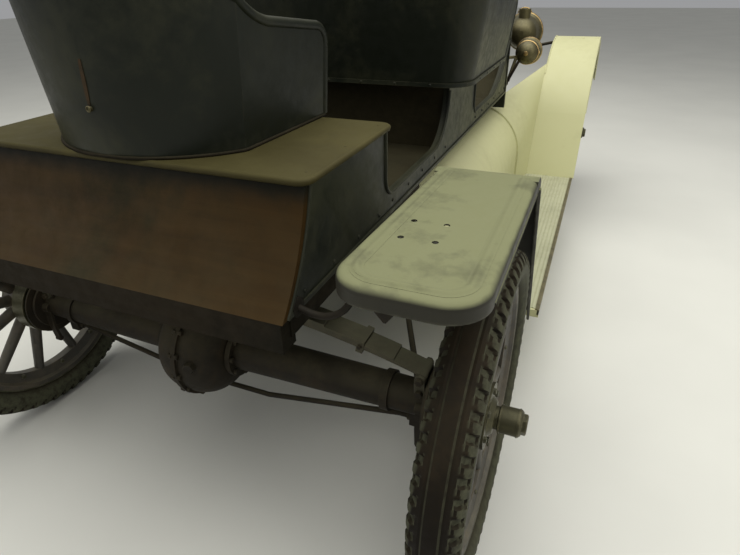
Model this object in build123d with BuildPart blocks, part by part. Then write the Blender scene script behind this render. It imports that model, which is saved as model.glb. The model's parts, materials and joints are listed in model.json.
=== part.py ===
import math
import os

from build123d import *

os.makedirs("parts", exist_ok=True)

# An open brass-era car: +Y is its front, +X its right side, +Z up, and the floor is z = 0.
# The origin is under the middle of its length.

# Driving dimensions, in mm
wheelbase = 2540
half_track = 711
backing_x = half_track - 99  # outer face of the rear brakes' backing plates
kingpin_x = half_track - 71
spring_reach, front_reach = backing_x - 28, kingpin_x - 110  # half lengths of the springs
lug_x = backing_x - 47      # lugs under the rear axle's tubes
tyre_radius = 381
rear_tyre_width, front_tyre_width = 98, 80
fender_reach = 471          # tip of the front fender ahead of the front axle
rail_x, rail_depth = 292, 76  # outer face and depth of the frame's side rails
rail_top = 660
body_x = 414                # outer face of the body's side
body_bottom, deck_top = 730, 953
hood_rear = wheelbase - 740  # front face of the firewall
panel = 18                  # thickness of a body panel
sheet = 3                   # thickness of fenders, aprons and hood
spindle_radius, running_gap = 15, 0.2
move_gap = 5                # between pieces that move past each other

rear_y = tyre_radius - (2 * tyre_radius + wheelbase + fender_reach - tyre_radius) / 2
front_y = rear_y + wheelbase
axle_z = tyre_radius


def at(y):
    # Heights along the car are measured from the rear axle.
    return rear_y + y


def side_plane(x):
    # A drawing plane seen from the right: its x runs forwards along the car, its y upwards.
    return Plane(origin=(x, rear_y, 0), x_dir=(0, 1, 0), z_dir=(1, 0, 0))


def cross_plane(y):
    # A drawing plane across the car: its x runs to the right, its y upwards.
    return Plane(origin=(0, at(y), 0), x_dir=(1, 0, 0), z_dir=(0, -1, 0))


def wheel_plane(x, y):
    # A half section of a wheel: its x runs along the axle, its y outwards along the radius.
    return Plane(origin=(x, y, axle_z), x_dir=(1, 0, 0), z_dir=(0, 0, 1))


def save(build, name):
    build.part.label = name
    export_step(build.part, f"parts/{name}.step")


corners = (  # name, side (1 right, -1 left), axle's y, tyre width
    ("rear_left", -1, rear_y, rear_tyre_width),
    ("rear_right", 1, rear_y, rear_tyre_width),
    ("front_left", -1, front_y, front_tyre_width),
    ("front_right", 1, front_y, front_tyre_width),
)

# Wheels: clincher tyre, steel rim, wooden felloe and twelve spokes, and a hub clamped on them
rim_radius, felloe_inner = 292, 252
rim_lip = 12
spoke_count = 12
hub_barrel, hub_flange, wood_width = 40, 76, 44
drum_radius = 98
cap_radius, cap_long, cap_short = 31, 47, 22
rear_tip, front_tip = half_track + 95, half_track + 60  # outer ends of the shafts and spindles

for corner, side, y, width in corners:
    x = side * half_track
    axle = Axis((x, y, axle_z), (1, 0, 0))
    half, bead = width / 2, width * 0.28
    with BuildPart() as tyre:
        with BuildSketch(wheel_plane(x, y)):
            with BuildLine():
                Polyline((-bead, rim_radius + rim_lip), (-bead, rim_radius), (bead, rim_radius),
                         (bead, rim_radius + rim_lip))
                ThreePointArc((bead, rim_radius + rim_lip), (half, rim_radius + 44),
                              (half * 0.7, tyre_radius - 9))
                ThreePointArc((half * 0.7, tyre_radius - 9), (0, tyre_radius),
                              (-half * 0.7, tyre_radius - 9))
                ThreePointArc((-half * 0.7, tyre_radius - 9), (-half, rim_radius + 44),
                              (-bead, rim_radius + rim_lip))
            make_face()
        revolve(axis=axle)
    save(tyre, f"tyre_{corner}")

    with BuildPart() as wheel:
        # steel rim with its two hooked lips, and the wooden felloe inside it
        with BuildSketch(wheel_plane(x, y)):
            with BuildLine():
                Polyline((-bead, rim_radius), (bead, rim_radius), (bead, rim_radius + rim_lip - 1),
                         (bead + 4, rim_radius + rim_lip - 1), (bead + 4, rim_radius - 6),
                         (wood_width / 2, rim_radius - 12), (wood_width / 2 - 8, felloe_inner),
                         (-wood_width / 2 + 8, felloe_inner), (-wood_width / 2, rim_radius - 12),
                         (-bead - 4, rim_radius - 6), (-bead - 4, rim_radius + rim_lip - 1),
                         (-bead, rim_radius + rim_lip - 1), close=True)
            make_face()
        revolve(axis=axle)
        # the spokes' wedged inner ends, which meet around the hub
        with BuildSketch(Plane.YZ.offset(x - wood_width / 2)):
            with Locations((y, axle_z)):
                Circle(hub_flange)
                Circle(hub_barrel, mode=Mode.SUBTRACT)
        extrude(amount=wood_width)
        # oval spokes, thicker at the hub
        for turn in range(spoke_count):
            angle = math.radians(360 / spoke_count * (turn + 0.5))
            out = Vector(0, math.sin(angle), math.cos(angle))
            for reach, across, along in ((hub_flange - 12, 36, 34), (felloe_inner + 6, 27, 30)):
                with BuildSketch(Plane(origin=Vector(x, y, axle_z) + out * reach,
                                       x_dir=(1, 0, 0), z_dir=out)):
                    Ellipse(along / 2, across / 2)
            loft()
    save(wheel, f"wheel_{corner}")

    rear = y == rear_y
    # half section of the hub: distance out from the wheel's centre plane, radius
    inner = kingpin_x + 24 - half_track
    cap = 48
    cap_end = cap + (cap_long if rear else cap_short)
    tip = (rear_tip if rear else front_tip) - half_track
    flange_in, flange_out = -wood_width / 2, wood_width / 2
    drum = backing_x + 8 - half_track
    inboard = ((drum, drum_radius), (drum + 45, drum_radius),
               (drum + 49, drum_radius - 4), (drum + 49, 52)) if rear else (
               (inner, 36), (inner + 14, 36), (inner + 14, 44))
    with BuildPart() as hub:
        with BuildSketch(wheel_plane(x, y)):
            outline = [*inboard, (flange_in - 7, 52), (flange_in - 7, hub_flange),
                       (flange_in, hub_flange), (flange_in, hub_barrel), (flange_out, hub_barrel),
                       (flange_out, hub_flange), (flange_out + 7, hub_flange), (flange_out + 7, 46),
                       (cap - 8, 36), (cap - 8, 26), (cap, 26), (cap + 2, cap_radius),
                       (cap_end, cap_radius), (cap_end + 5, cap_radius - 5), (cap_end + 5, 21),
                       (cap_end + 15, 21), (cap_end + 15, 0), (tip + 4, 0),
                       (tip + 4, spindle_radius + running_gap)]
            start = inboard[0][0]
            if rear:
                outline += [(drum + 6, spindle_radius + running_gap),
                            (drum + 6, drum_radius - 5), (start, drum_radius - 5)]
            else:
                outline += [(start, spindle_radius + running_gap)]
            with BuildLine():
                Polyline(*[(side * u, r) for u, r in outline], close=True)
            make_face()
        revolve(axis=axle)
    save(hub, f"hub_{corner}")

# Rear axle: banjo casing, tapered tubes, brake backing plates and the shafts that carry the hubs
casing_x = -27              # the casing's middle, off the car's centre line for the ring gear
leaf_width = 57
neck = 165                  # front face of the casing's neck, ahead of the axle
with BuildPart() as rear_axle:
    with BuildSketch(wheel_plane(0, rear_y)):
        with BuildLine():
            Polyline((-rear_tip, 0), (-rear_tip, spindle_radius), (-backing_x, spindle_radius),
                     (-backing_x, drum_radius - 2), (-backing_x + 5, drum_radius - 2),
                     (-backing_x + 5, 42), (casing_x - 112, 50), (casing_x - 98, 64))
            ThreePointArc((casing_x - 98, 64), (casing_x - 66, 116), (casing_x - 6, 134))
            Polyline((casing_x - 6, 134), (casing_x - 6, 142), (casing_x + 6, 142), (casing_x + 6, 134))
            ThreePointArc((casing_x + 6, 134), (casing_x + 66, 116), (casing_x + 98, 64))
            Polyline((casing_x + 98, 64), (casing_x + 112, 50), (backing_x - 5, 42),
                     (backing_x - 5, drum_radius - 2), (backing_x, drum_radius - 2),
                     (backing_x, spindle_radius), (rear_tip, spindle_radius), (rear_tip, 0),
                     (-rear_tip, 0))
        make_face()
    revolve(axis=Axis((0, rear_y, axle_z), (1, 0, 0)))
    # neck at the front, to which the torque tube is bolted
    with BuildSketch(Plane.XZ.offset(-rear_y)):
        with Locations((0, axle_z + 8)):
            Circle(50)
    extrude(amount=-neck)
    with BuildSketch(cross_plane(neck - 10)):
        with Locations((0, axle_z + 8)):
            Circle(64)
    extrude(amount=-10)
    # perches for the spring's shackles, on top of the tubes
    with BuildSketch(cross_plane(0).offset(-leaf_width / 2)):
        with Locations((spring_reach, axle_z + 44), (-spring_reach, axle_z + 44)):
            Rectangle(34, 40)
    extrude(amount=leaf_width)
    # lugs under the tubes for the truss rod and the radius rods
    with BuildSketch(cross_plane(20).offset(-18)):
        with Locations((lug_x, axle_z - 58), (-lug_x, axle_z - 58)):
            Rectangle(30, 86)
    extrude(amount=36)
save(rear_axle, "rear_axle")

# Truss rod under the rear axle
truss_x, truss_end, truss_low = lug_x - 15, axle_z - 87, axle_z - 142 - 14
with BuildPart() as truss_rod:
    with BuildLine(Plane.XY):
        FilletPolyline((-truss_x, at(20), truss_end), (30 - truss_x, at(20), truss_end),
                       (-130, at(20), truss_low), (130, at(20), truss_low),
                       (truss_x - 30, at(20), truss_end), (truss_x, at(20), truss_end), radius=40)
    with BuildSketch(Plane(origin=(-truss_x, at(20), truss_end), z_dir=(1, 0, 0))):
        Circle(7)
    sweep()
save(truss_rod, "truss_rod")

# Drive line: torque tube and the two rods that brace the rear axle to its front end
gearbox_rear = wheelbase - 1060
with BuildPart() as drive_tube:
    tail, nose = Vector(0, at(neck), axle_z + 8), Vector(0, at(gearbox_rear), 500)
    for place, radius in ((tail, 42), (nose, 30)):
        with BuildSketch(Plane(origin=place, x_dir=(1, 0, 0), z_dir=(0, -1, 0))):
            Circle(radius)
    loft()
    meet = tail + (nose - tail) * 0.84
    for side in (-1, 1):
        foot = Vector(side * lug_x, at(38), axle_z - 29)
        with BuildSketch(Plane(origin=foot, x_dir=(1, 0, 0), z_dir=(0, -1, 0))):
            Circle(9)
        extrude(amount=(meet - foot).length, dir=(meet - foot).normalized())
save(drive_tube, "drive_tube")


def leaf_arc(crown_z, radius, x):
    # Height at x of an arc whose crown is over the car's centre line.
    return crown_z - radius + math.sqrt(radius ** 2 - x ** 2)


def leaf_band(crown_z, radius, thick, reach):
    # Outline of one curved leaf, from -reach to reach, thick above its lower face.
    low, high = leaf_arc(crown_z, radius, reach), leaf_arc(crown_z + thick, radius + thick, reach)
    ThreePointArc((-reach, low), (0, crown_z), (reach, low))
    Line((reach, low), (reach, high))
    ThreePointArc((reach, high), (0, crown_z + thick), (-reach, high))
    Line((-reach, high), (-reach, low))


leaf = 6
rear_crown, front_crown = 556, 590
# radius of each spring's lowest leaf: a longer spring is flatter, so its shackles stay level
rear_bow, front_bow = 1983 * (spring_reach / 584) ** 2, 1315 * (front_reach / 530) ** 2
springs = (  # name, axle's place, crown's height, radius, half lengths of the leaves from the lowest up
    ("rear_spring", 0, rear_crown, rear_bow,
     [spring_reach - cut for cut in (0, 64, 144, 234, 324, 414)]),
    ("front_spring", wheelbase, front_crown, front_bow,
     [front_reach - cut for cut in (0, 80, 170, 260, 350)]),
)
shackle_drop = 34
for name, place, crown, leaf_radius, reaches in springs:
    with BuildPart() as spring:
        for order, reach in enumerate(reaches):
            with BuildSketch(cross_plane(place).offset(-leaf_width / 2)):
                with BuildLine():
                    leaf_band(crown + leaf * order, leaf_radius + leaf * order, leaf, reach)
                make_face()
            extrude(amount=leaf_width)
        eye_x, eye_z = reaches[0], leaf_arc(crown, leaf_radius, reaches[0]) - 8
        for side in (-1, 1):
            with BuildSketch(cross_plane(place).offset(-leaf_width / 2)):
                with Locations((side * eye_x, eye_z)):
                    Circle(14)
            extrude(amount=leaf_width)
            # shackle plates on both sides of the eye, and the perch's pin through them
            for face in (-leaf_width / 2 - 8, leaf_width / 2):
                with BuildSketch(cross_plane(place).offset(face)):
                    with Locations((side * eye_x, eye_z - shackle_drop / 2)):
                        SlotCenterToCenter(shackle_drop, 24, rotation=90)
                extrude(amount=8)
            # rebound clip around the leaves
            clip_x = reaches[2]
            clip_z = leaf_arc(crown, leaf_radius, clip_x)
            with BuildSketch(cross_plane(place).offset(-leaf_width / 2 - 4)):
                with Locations((side * clip_x, clip_z + leaf)):
                    Rectangle(16, leaf * 3 + 14, rotation=-side * math.degrees(
                        math.asin(clip_x / leaf_radius)))
            extrude(amount=leaf_width + 8)
    save(spring, name)

# Frame: two channel rails, and cross members over the springs
rear_stack = rear_crown + leaf * 6
front_stack = front_crown + leaf * 5
flange, web = 38, 5
rail_end = wheelbase + 36
with BuildPart() as chassis_frame:
    for side in (-1, 1):
        with BuildSketch(cross_plane(-36)):
            with Locations((side * (rail_x - flange / 2), rail_top - rail_depth / 2)):
                Rectangle(flange, rail_depth)
            with Locations((side * (rail_x - web - flange / 2), rail_top - rail_depth / 2)):
                Rectangle(flange, rail_depth - 2 * web, mode=Mode.SUBTRACT)
        extrude(amount=-(rail_end + 36))
        # the rails' lower half ends behind the front spring
        with Locations((side * rail_x, front_y + 36 - 31, (rail_top + rail_top - rail_depth) / 2 - 12)):
            Box(2 * flange + 20, 72, rail_depth - 12, mode=Mode.SUBTRACT)
    # rear cross member: a trough on top of the spring
    with BuildSketch(side_plane(-rail_x + web)):
        with Locations((0, (rear_stack + rail_top) / 2)):
            Rectangle(72, rail_top - rear_stack)
        with Locations((0, (rear_stack + rail_top) / 2 + web)):
            Rectangle(72 - 2 * web, rail_top - rear_stack, mode=Mode.SUBTRACT)
    extrude(amount=2 * (rail_x - web))
    # front cross member, arched over its spring
    bow = front_bow + leaf * 5
    with BuildSketch(cross_plane(wheelbase).offset(-36)):
        with BuildLine():
            leaf_band(front_stack, bow, 6, rail_x)
        make_face()
    extrude(amount=72)
    for face in (-36, 31):
        with BuildSketch(cross_plane(wheelbase).offset(face)):
            with BuildLine():
                leaf_band(front_stack - 56, bow - 56, 60, rail_x)
            make_face()
        extrude(amount=5)
    # the two middle cross members
    for place in (wheelbase / 4, wheelbase / 2 + 30):
        with BuildSketch(cross_plane(place)):
            with Locations((0, rail_top - 20)):
                Rectangle(2 * (rail_x - web), 40)
                Rectangle(2 * (rail_x - web) - 60, 20, mode=Mode.SUBTRACT)
        extrude(amount=-50)
save(chassis_frame, "chassis_frame")

# Front axle: I-section beam, forks around the knuckles, and the kingpins
kingpin_radius = 9
knuckle_height, fork_thick = 60, 15
beam_z = axle_z - 31
fork = kingpin_x - 28       # outer face of the beam's ends
pocket = fork - 62          # length of the I-section's hollow on each side
with BuildPart() as front_axle:
    for side in (-1, 1):
        with BuildSketch(cross_plane(wheelbase).offset(-15)):
            with BuildLine():
                Polyline((0, beam_z - 22), (side * (fork - 52), beam_z - 22),
                         (side * (fork - 12), beam_z - 16), (side * fork, beam_z - 16),
                         (side * fork, axle_z + 46), (side * (fork - 20), axle_z + 46),
                         (side * (fork - 52), beam_z + 22), (0, beam_z + 22), close=True)
            make_face()
        extrude(amount=30)
        with BuildSketch(cross_plane(wheelbase).offset(9)):
            with Locations((side * pocket / 2, beam_z)):
                Rectangle(pocket, 28)
        extrude(amount=10, mode=Mode.SUBTRACT)
        with BuildSketch(cross_plane(wheelbase).offset(-19)):
            with Locations((side * pocket / 2, beam_z)):
                Rectangle(pocket, 28)
        extrude(amount=10, mode=Mode.SUBTRACT)
        for low in (axle_z - knuckle_height / 2 - 0.5 - fork_thick,
                    axle_z + knuckle_height / 2 + 0.5):
            with BuildSketch(Plane.XY.offset(low)):
                with Locations((side * kingpin_x, front_y)):
                    Circle(20)
                with Locations((side * (kingpin_x - 20), front_y)):
                    Rectangle(40, 30)
            extrude(amount=fork_thick)
        with BuildSketch(Plane.XY.offset(axle_z - 56)):
            with Locations((side * kingpin_x, front_y)):
                Circle(kingpin_radius)
        extrude(amount=112)
        with BuildSketch(Plane.XY.offset(axle_z + 46)):
            with Locations((side * kingpin_x, front_y)):
                RegularPolygon(15, 6)
        extrude(amount=10)
        # spring perch
        with BuildSketch(cross_plane(wheelbase).offset(-leaf_width / 2)):
            with Locations((side * front_reach, beam_z + 58)):
                Rectangle(34, 84)
        extrude(amount=leaf_width)
save(front_axle, "front_axle")

# Knuckles: body on the kingpin, spindle for the hub, and the steering arm to the rear
arm_length = 130
for name, side in (("knuckle_left", -1), ("knuckle_right", 1)):
    pin_x = side * kingpin_x
    with BuildPart() as knuckle:
        with BuildSketch(Plane.XY.offset(axle_z - knuckle_height / 2)):
            with Locations((pin_x, front_y)):
                Circle(20)
        extrude(amount=knuckle_height)
        with BuildSketch(Plane.YZ.offset(pin_x)):
            with Locations((front_y, axle_z)):
                Circle(spindle_radius)
        extrude(amount=side * (front_tip - kingpin_x))
        with BuildSketch(Plane.XY.offset(axle_z - 7)):
            with Locations((pin_x, front_y - arm_length / 2)):
                Rectangle(18, arm_length)
            with Locations((pin_x, front_y - arm_length)):
                Circle(15)
                Circle(7.2, mode=Mode.SUBTRACT)
        extrude(amount=14)
        with BuildSketch(Plane.XY.offset(axle_z - knuckle_height / 2 - 1)):
            with Locations((pin_x, front_y)):
                Circle(kingpin_radius + running_gap)
            with Locations((pin_x, front_y - arm_length)):
                Circle(7 + running_gap)
        extrude(amount=knuckle_height + 2, mode=Mode.SUBTRACT)
    save(knuckle, name)

# Tie rod between the arms, with the drag link that the pitman arm pushes
tie_y, tie_z = wheelbase - arm_length, 358
column_x = -225
column_low = wheelbase - 210
column_foot = Vector(column_x, at(column_low), 520)
column_top = Vector(column_x, at(column_low - 950), 1330)
column_axis = (column_top - column_foot).normalized()
arm_down = Vector(0, -column_axis.Z, column_axis.Y)
pitman_length = 150
pitman_eye = column_foot + arm_down * pitman_length
with BuildPart() as tie_rod:
    with BuildSketch(Plane.YZ.offset(-kingpin_x)):
        with Locations((at(tie_y), tie_z)):
            Circle(9)
    extrude(amount=2 * kingpin_x)
    for side in (-1, 1):
        with BuildSketch(Plane.XY.offset(tie_z - 12)):
            with Locations((side * kingpin_x, at(tie_y))):
                Circle(14)
        extrude(amount=24)
        with BuildSketch(Plane.XY.offset(tie_z)):
            with Locations((side * kingpin_x, at(tie_y))):
                Circle(7)
        extrude(amount=axle_z + 14 - tie_z)
    link_end = Vector(kingpin_x - 100, at(tie_y), tie_z)
    link_start = Vector(pitman_eye.X + 22, pitman_eye.Y, pitman_eye.Z)
    with BuildSketch(Plane(origin=link_start, z_dir=(link_end - link_start).normalized())):
        Circle(8)
    extrude(amount=(link_end - link_start).length)
save(tie_rod, "tie_rod")

# Steering column: fixed tube with its gear case under the wheel
with BuildPart() as steering_column:
    with BuildSketch(Plane(origin=column_foot + column_axis * 30, z_dir=column_axis)):
        Circle(20)
        Circle(8.2, mode=Mode.SUBTRACT)
    extrude(amount=(column_top - column_foot).length - 90)
    with BuildSketch(Plane(origin=column_top - column_axis * 95, z_dir=column_axis)):
        Circle(38)
        Circle(8.2, mode=Mode.SUBTRACT)
    extrude(amount=40)
    # bracket that carries the column's lower end on the left rail
    with BuildSketch(cross_plane(column_low - 117).offset(-12)):
        with Locations((-(rail_x - web) + 37, rail_top - 40)):
            Rectangle(74, 30)
    extrude(amount=24)
    with BuildSketch(Plane(origin=column_foot, z_dir=column_axis)):
        Circle(8.2)
    extrude(amount=(column_top - column_foot).length, mode=Mode.SUBTRACT)
save(steering_column, "steering_column")

with BuildPart() as pitman_arm:
    with BuildSketch(Plane(origin=column_foot, z_dir=column_axis)):
        Circle(18)
    extrude(amount=24)
    with BuildSketch(Plane(origin=column_foot, z_dir=column_axis)):
        Circle(8)
    extrude(amount=400)
    with BuildSketch(Plane(origin=column_foot, x_dir=arm_down, z_dir=column_axis)):
        with Locations((pitman_length / 2, 0)):
            SlotCenterToCenter(pitman_length, 22)
    extrude(amount=14)
save(pitman_arm, "pitman_arm")

wheel_rim_radius, wheel_rim = 195, 12
with BuildPart() as steering_wheel:
    with BuildSketch(Plane(origin=column_top, x_dir=(1, 0, 0),
                           z_dir=Vector(1, 0, 0).cross(column_axis))):
        with Locations((wheel_rim_radius, 0)):
            Circle(wheel_rim)
    revolve(axis=Axis(column_top, column_axis))
    with BuildSketch(Plane(origin=column_top - column_axis * 28, z_dir=column_axis)):
        Circle(30)
    extrude(amount=26)
    with BuildSketch(Plane(origin=column_top - column_axis * 300, z_dir=column_axis)):
        Circle(8)
    extrude(amount=280)
    for turn in range(4):
        angle = math.radians(45 + 90 * turn)
        hub_side = Vector(1, 0, 0) * math.cos(angle) + Vector(1, 0, 0).cross(
            column_axis) * math.sin(angle)
        low = column_top - column_axis * 16 + hub_side * 20
        high = column_top + hub_side * wheel_rim_radius
        with BuildSketch(Plane(origin=low, z_dir=(high - low).normalized())):
            Ellipse(9, 6)
        extrude(amount=(high - low).length)
save(steering_wheel, "steering_wheel")

# Front axle's brace: two rods that meet in a ball under the engine
with BuildPart() as front_radius_rod:
    ball = Vector(0, at(hood_rear), 395)
    for side in (-1, 1):
        foot = Vector(side * 500, front_y - 10, beam_z - 34)
        rod = (ball - foot).normalized()
        with BuildSketch(Plane(origin=foot, z_dir=rod)):
            Circle(10)
        extrude(amount=(ball - foot).length)
        with BuildSketch(Plane.XY.offset(beam_z - 42)):
            with Locations((side * 500, front_y)):
                Rectangle(44, 40)
        extrude(amount=20)
    with BuildSketch(Plane(origin=ball, x_dir=(1, 0, 0), z_dir=(0, 1, 0))):
        with BuildLine():
            Line((0, -24), (0, 24))
            ThreePointArc((0, 24), (24, 0), (0, -24))
        make_face()
    revolve(axis=Axis(ball, (0, 0, 1)))
save(front_radius_rod, "front_radius_rod")

# Engine: one block with its pan, the transmission behind it and the arms that sit in the rails
engine_y = wheelbase - 400
with BuildPart() as engine:
    with Locations((0, at(engine_y), 690)):
        Box(230, 560, 400)
    with Locations((0, at(engine_y), 510)):
        Box(240, 600, 150)
    with Locations((0, at(gearbox_rear + 180), 530)):
        Box(260, 360, 200)
    with Locations((0, at(engine_y - 240), rail_top - rail_depth + web + 12)):
        Box(2 * (rail_x - web), 40, 24)
    with Locations((0, at(hood_rear), 427)):
        Box(60, 60, 16)
save(engine, "engine")

# Exhaust: pipe from the engine's right side, muffler on two hangers, and tail pipe
muffler_x, muffler_z, muffler_radius = 185, 520, 50
port_y, muffler_front = wheelbase - 290, wheelbase / 2 - 10
with BuildPart() as exhaust:
    with BuildLine(Plane.XY):
        FilletPolyline((115, at(port_y), 700), (205, at(port_y), 700), (205, at(port_y - 550), 620),
                       (muffler_x, at(muffler_front + 40), muffler_z),
                       (muffler_x, at(420), muffler_z - 40), radius=40)
    with BuildSketch(Plane(origin=(115, at(port_y), 700), z_dir=(1, 0, 0))):
        Circle(20)
    sweep()
    with BuildSketch(cross_plane(muffler_front)):
        with Locations((muffler_x, muffler_z - 3)):
            Circle(muffler_radius)
    extrude(amount=520)
    for place in (muffler_front - 400, muffler_front - 60):
        with BuildSketch(cross_plane(place)):
            with BuildLine():
                Polyline((muffler_x - 10, 530), (muffler_x + 30, 500), (rail_x - 4, 584),
                         (rail_x - 34, 584), close=True)
            make_face()
        extrude(amount=24)
save(exhaust, "exhaust")

# Radiator: brass shell with its tank and filler, and the finned core that shows at the front
hood_front = wheelbase      # shell's rear face
ledge_height = 56
hood_top, hood_foot = 1085, rail_top + ledge_height + move_gap + 1
hood_half_rear, hood_half_front = 300, 232
shell_depth, shell_edge = 72, 34


with BuildPart() as radiator_shell:
    with BuildSketch(cross_plane(hood_front)):
        with BuildLine():
            for side in (-1, 1):
                Line((0, hood_top + 4), (side * 118, hood_top - 2))
                ThreePointArc((side * 118, hood_top - 2), (side * 210, hood_top - 42),
                              (side * 238, hood_top - 125))
                Line((side * 238, hood_top - 125), (side * 238, rail_top))
            Line((-238, rail_top), (238, rail_top))
        make_face()
        with Locations((0, (rail_top + 46 + hood_top - 118) / 2)):
            RectangleRounded(2 * (238 - shell_edge), hood_top - 118 - rail_top - 46, 14,
                             mode=Mode.SUBTRACT)
    extrude(amount=-shell_depth)
    with BuildSketch(cross_plane(hood_front)):
        with Locations((260, rail_top + 4), (-260, rail_top + 4)):
            Rectangle(50, 8)
    extrude(amount=-40)
    with BuildSketch(Plane.XY.offset(hood_top - 10)):
        with Locations((0, at(hood_front + shell_depth / 2))):
            Circle(27)
    extrude(amount=34)
    with BuildSketch(Plane.XY.offset(hood_top + 24)):
        with Locations((0, at(hood_front + shell_depth / 2))):
            Circle(35)
    extrude(amount=14)
save(radiator_shell, "radiator_shell")

with BuildPart() as radiator_core:
    core_height = hood_top - 118 - rail_top - 46
    with BuildSketch(cross_plane(hood_front + 8)):
        with Locations((0, (rail_top + 46 + hood_top - 118) / 2)):
            RectangleRounded(2 * (238 - shell_edge), core_height, 14)
    extrude(amount=-(shell_depth - 22))
    # upright water passages stand out as grooves across the core's face
    with BuildSketch(cross_plane(hood_front + shell_depth - 14)):
        with GridLocations(24, 0, 16, 1):
            with Locations((0, (rail_top + 46 + hood_top - 118) / 2)):
                Rectangle(8, core_height - 30)
    extrude(amount=8, mode=Mode.SUBTRACT)
save(radiator_core, "radiator_core")

# Hood: two halves that hinge on the rod along its crown
hinge_z, hinge_radius = hood_top - 2, 5
hinge_clear = hinge_radius + 0.25
with BuildPart() as hood_hinge:
    with BuildSketch(cross_plane(hood_rear)):
        with Locations((0, hinge_z)):
            Circle(hinge_radius)
    extrude(amount=-(hood_front - hood_rear))
save(hood_hinge, "hood_hinge")

for name, side in (("hood_left", -1), ("hood_right", 1)):
    with BuildPart() as hood:
        for place, half in ((hood_rear + move_gap + 1, hood_half_rear),
                            (hood_front - move_gap - 1, hood_half_front)):
            knee = half * 0.5
            with BuildSketch(cross_plane(place)):
                with BuildLine():
                    for inset in (0, sheet):
                        out, top = half - inset, hood_top - inset
                        Line((side * hinge_clear, top), (side * knee, top - 6))
                        ThreePointArc((side * knee, top - 6),
                                      (side * (knee + (out - knee) * 0.72), top - 42),
                                      (side * out, top - 125))
                        Line((side * out, top - 125), (side * out, hood_foot))
                    Line((side * hinge_clear, hood_top), (side * hinge_clear, hood_top - sheet))
                    Line((side * half, hood_foot), (side * (half - sheet), hood_foot))
                make_face()
        loft(ruled=True)
    save(hood, name)

with BuildPart() as hood_ledges:
    for side in (-1, 1):
        with BuildSketch(Plane.XY.offset(rail_top)):
            with BuildLine():
                Polyline(*[(side * x, at(y)) for x, y in (
                    (rail_x + 30, hood_rear), (rail_x, hood_front), (hood_half_front - 14, hood_front),
                    (hood_half_rear - 14, hood_rear))], close=True)
            make_face()
        extrude(amount=ledge_height)
save(hood_ledges, "hood_ledges")

# Body: sills on the rails, floor, back panel, sides with their cut-outs, and rear deck
firewall_thick = 20
firewall_rear = hood_rear - firewall_thick
firewall_half, firewall_top = body_x + 4, 1165
with BuildPart() as firewall:
    with BuildSketch(cross_plane(firewall_rear)):
        with BuildLine():
            Polyline((-firewall_half, 1110), (-firewall_half, rail_top + 2), (firewall_half, rail_top + 2),
                     (firewall_half, 1110))
            for side in (-1, 1):
                ThreePointArc((side * firewall_half, 1110), (side * (firewall_half - 16), 1149),
                              (side * (firewall_half - 55), firewall_top))
            Line((-firewall_half + 55, firewall_top), (firewall_half - 55, firewall_top))
        make_face()
    extrude(amount=-firewall_thick)
    with BuildSketch(Plane(origin=column_foot, z_dir=column_axis)):
        Circle(20.5)
    extrude(amount=900, mode=Mode.SUBTRACT)
save(firewall, "firewall")

back_foot, back_waist, back_head = (-284, body_bottom), (-206, 842), (-170, deck_top - 12)
floor_top = body_bottom + panel
with BuildPart() as body_sills:
    for side in (-1, 1):
        with Locations((side * (rail_x - 12), at((back_foot[0] + 44 + firewall_rear) / 2),
                        (rail_top + body_bottom) / 2)):
            Box(50, firewall_rear - back_foot[0] - 44, body_bottom - rail_top)
    # beam under the back panel's foot
    with Locations((0, at(back_foot[0] + 22), body_bottom - 31)):
        Box(2 * body_x - 8, 44, 62)
save(body_sills, "body_sills")

seat_box_front = hood_rear - 693
seat_box_rear = seat_box_front - 358
footwell_rear = 217
toe_foot = firewall_rear - 232          # where the floor turns up into the toe board
inner = body_x - panel
with BuildPart() as body_floor:
    with Locations((0, at((toe_foot - 240) / 2), body_bottom + panel / 2)):
        Box(2 * inner, toe_foot + 240, panel)
save(body_floor, "body_floor")

with BuildPart() as toe_board:
    with BuildSketch(side_plane(-inner)):
        with BuildLine():
            Polyline((toe_foot, floor_top), (toe_foot, body_bottom), (toe_foot + 12, body_bottom),
                     (firewall_rear, 836), (firewall_rear, 856), close=True)
        make_face()
    extrude(amount=2 * inner)
save(toe_board, "toe_board")

# Upright boards under the deck's edge and around the front seat's box, and the box's top board
with BuildPart() as heel_boards:
    for y in (footwell_rear - panel / 2, seat_box_rear + panel / 2, seat_box_front - panel / 2):
        with Locations((0, at(y), (floor_top + deck_top - 12) / 2)):
            Box(2 * inner, panel, deck_top - 12 - floor_top)
save(heel_boards, "heel_boards")

with BuildPart() as seat_board:
    with Locations((0, at((seat_box_rear + seat_box_front) / 2), deck_top - 6)):
        Box(2 * inner, seat_box_front - seat_box_rear, 12)
save(seat_board, "seat_board")

with BuildPart() as back_panel:
    with BuildSketch(side_plane(-body_x)):
        with BuildLine():
            ThreePointArc(back_foot, back_waist, back_head)
            Line(back_head, (back_head[0] + panel, back_head[1]))
            ThreePointArc((back_head[0] + panel, back_head[1]), (back_waist[0] + panel, back_waist[1]),
                          (back_foot[0] + panel, back_foot[1]))
            Line((back_foot[0] + panel, back_foot[1]), back_foot)
        make_face()
    extrude(amount=2 * body_x)
save(back_panel, "back_panel")

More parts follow.
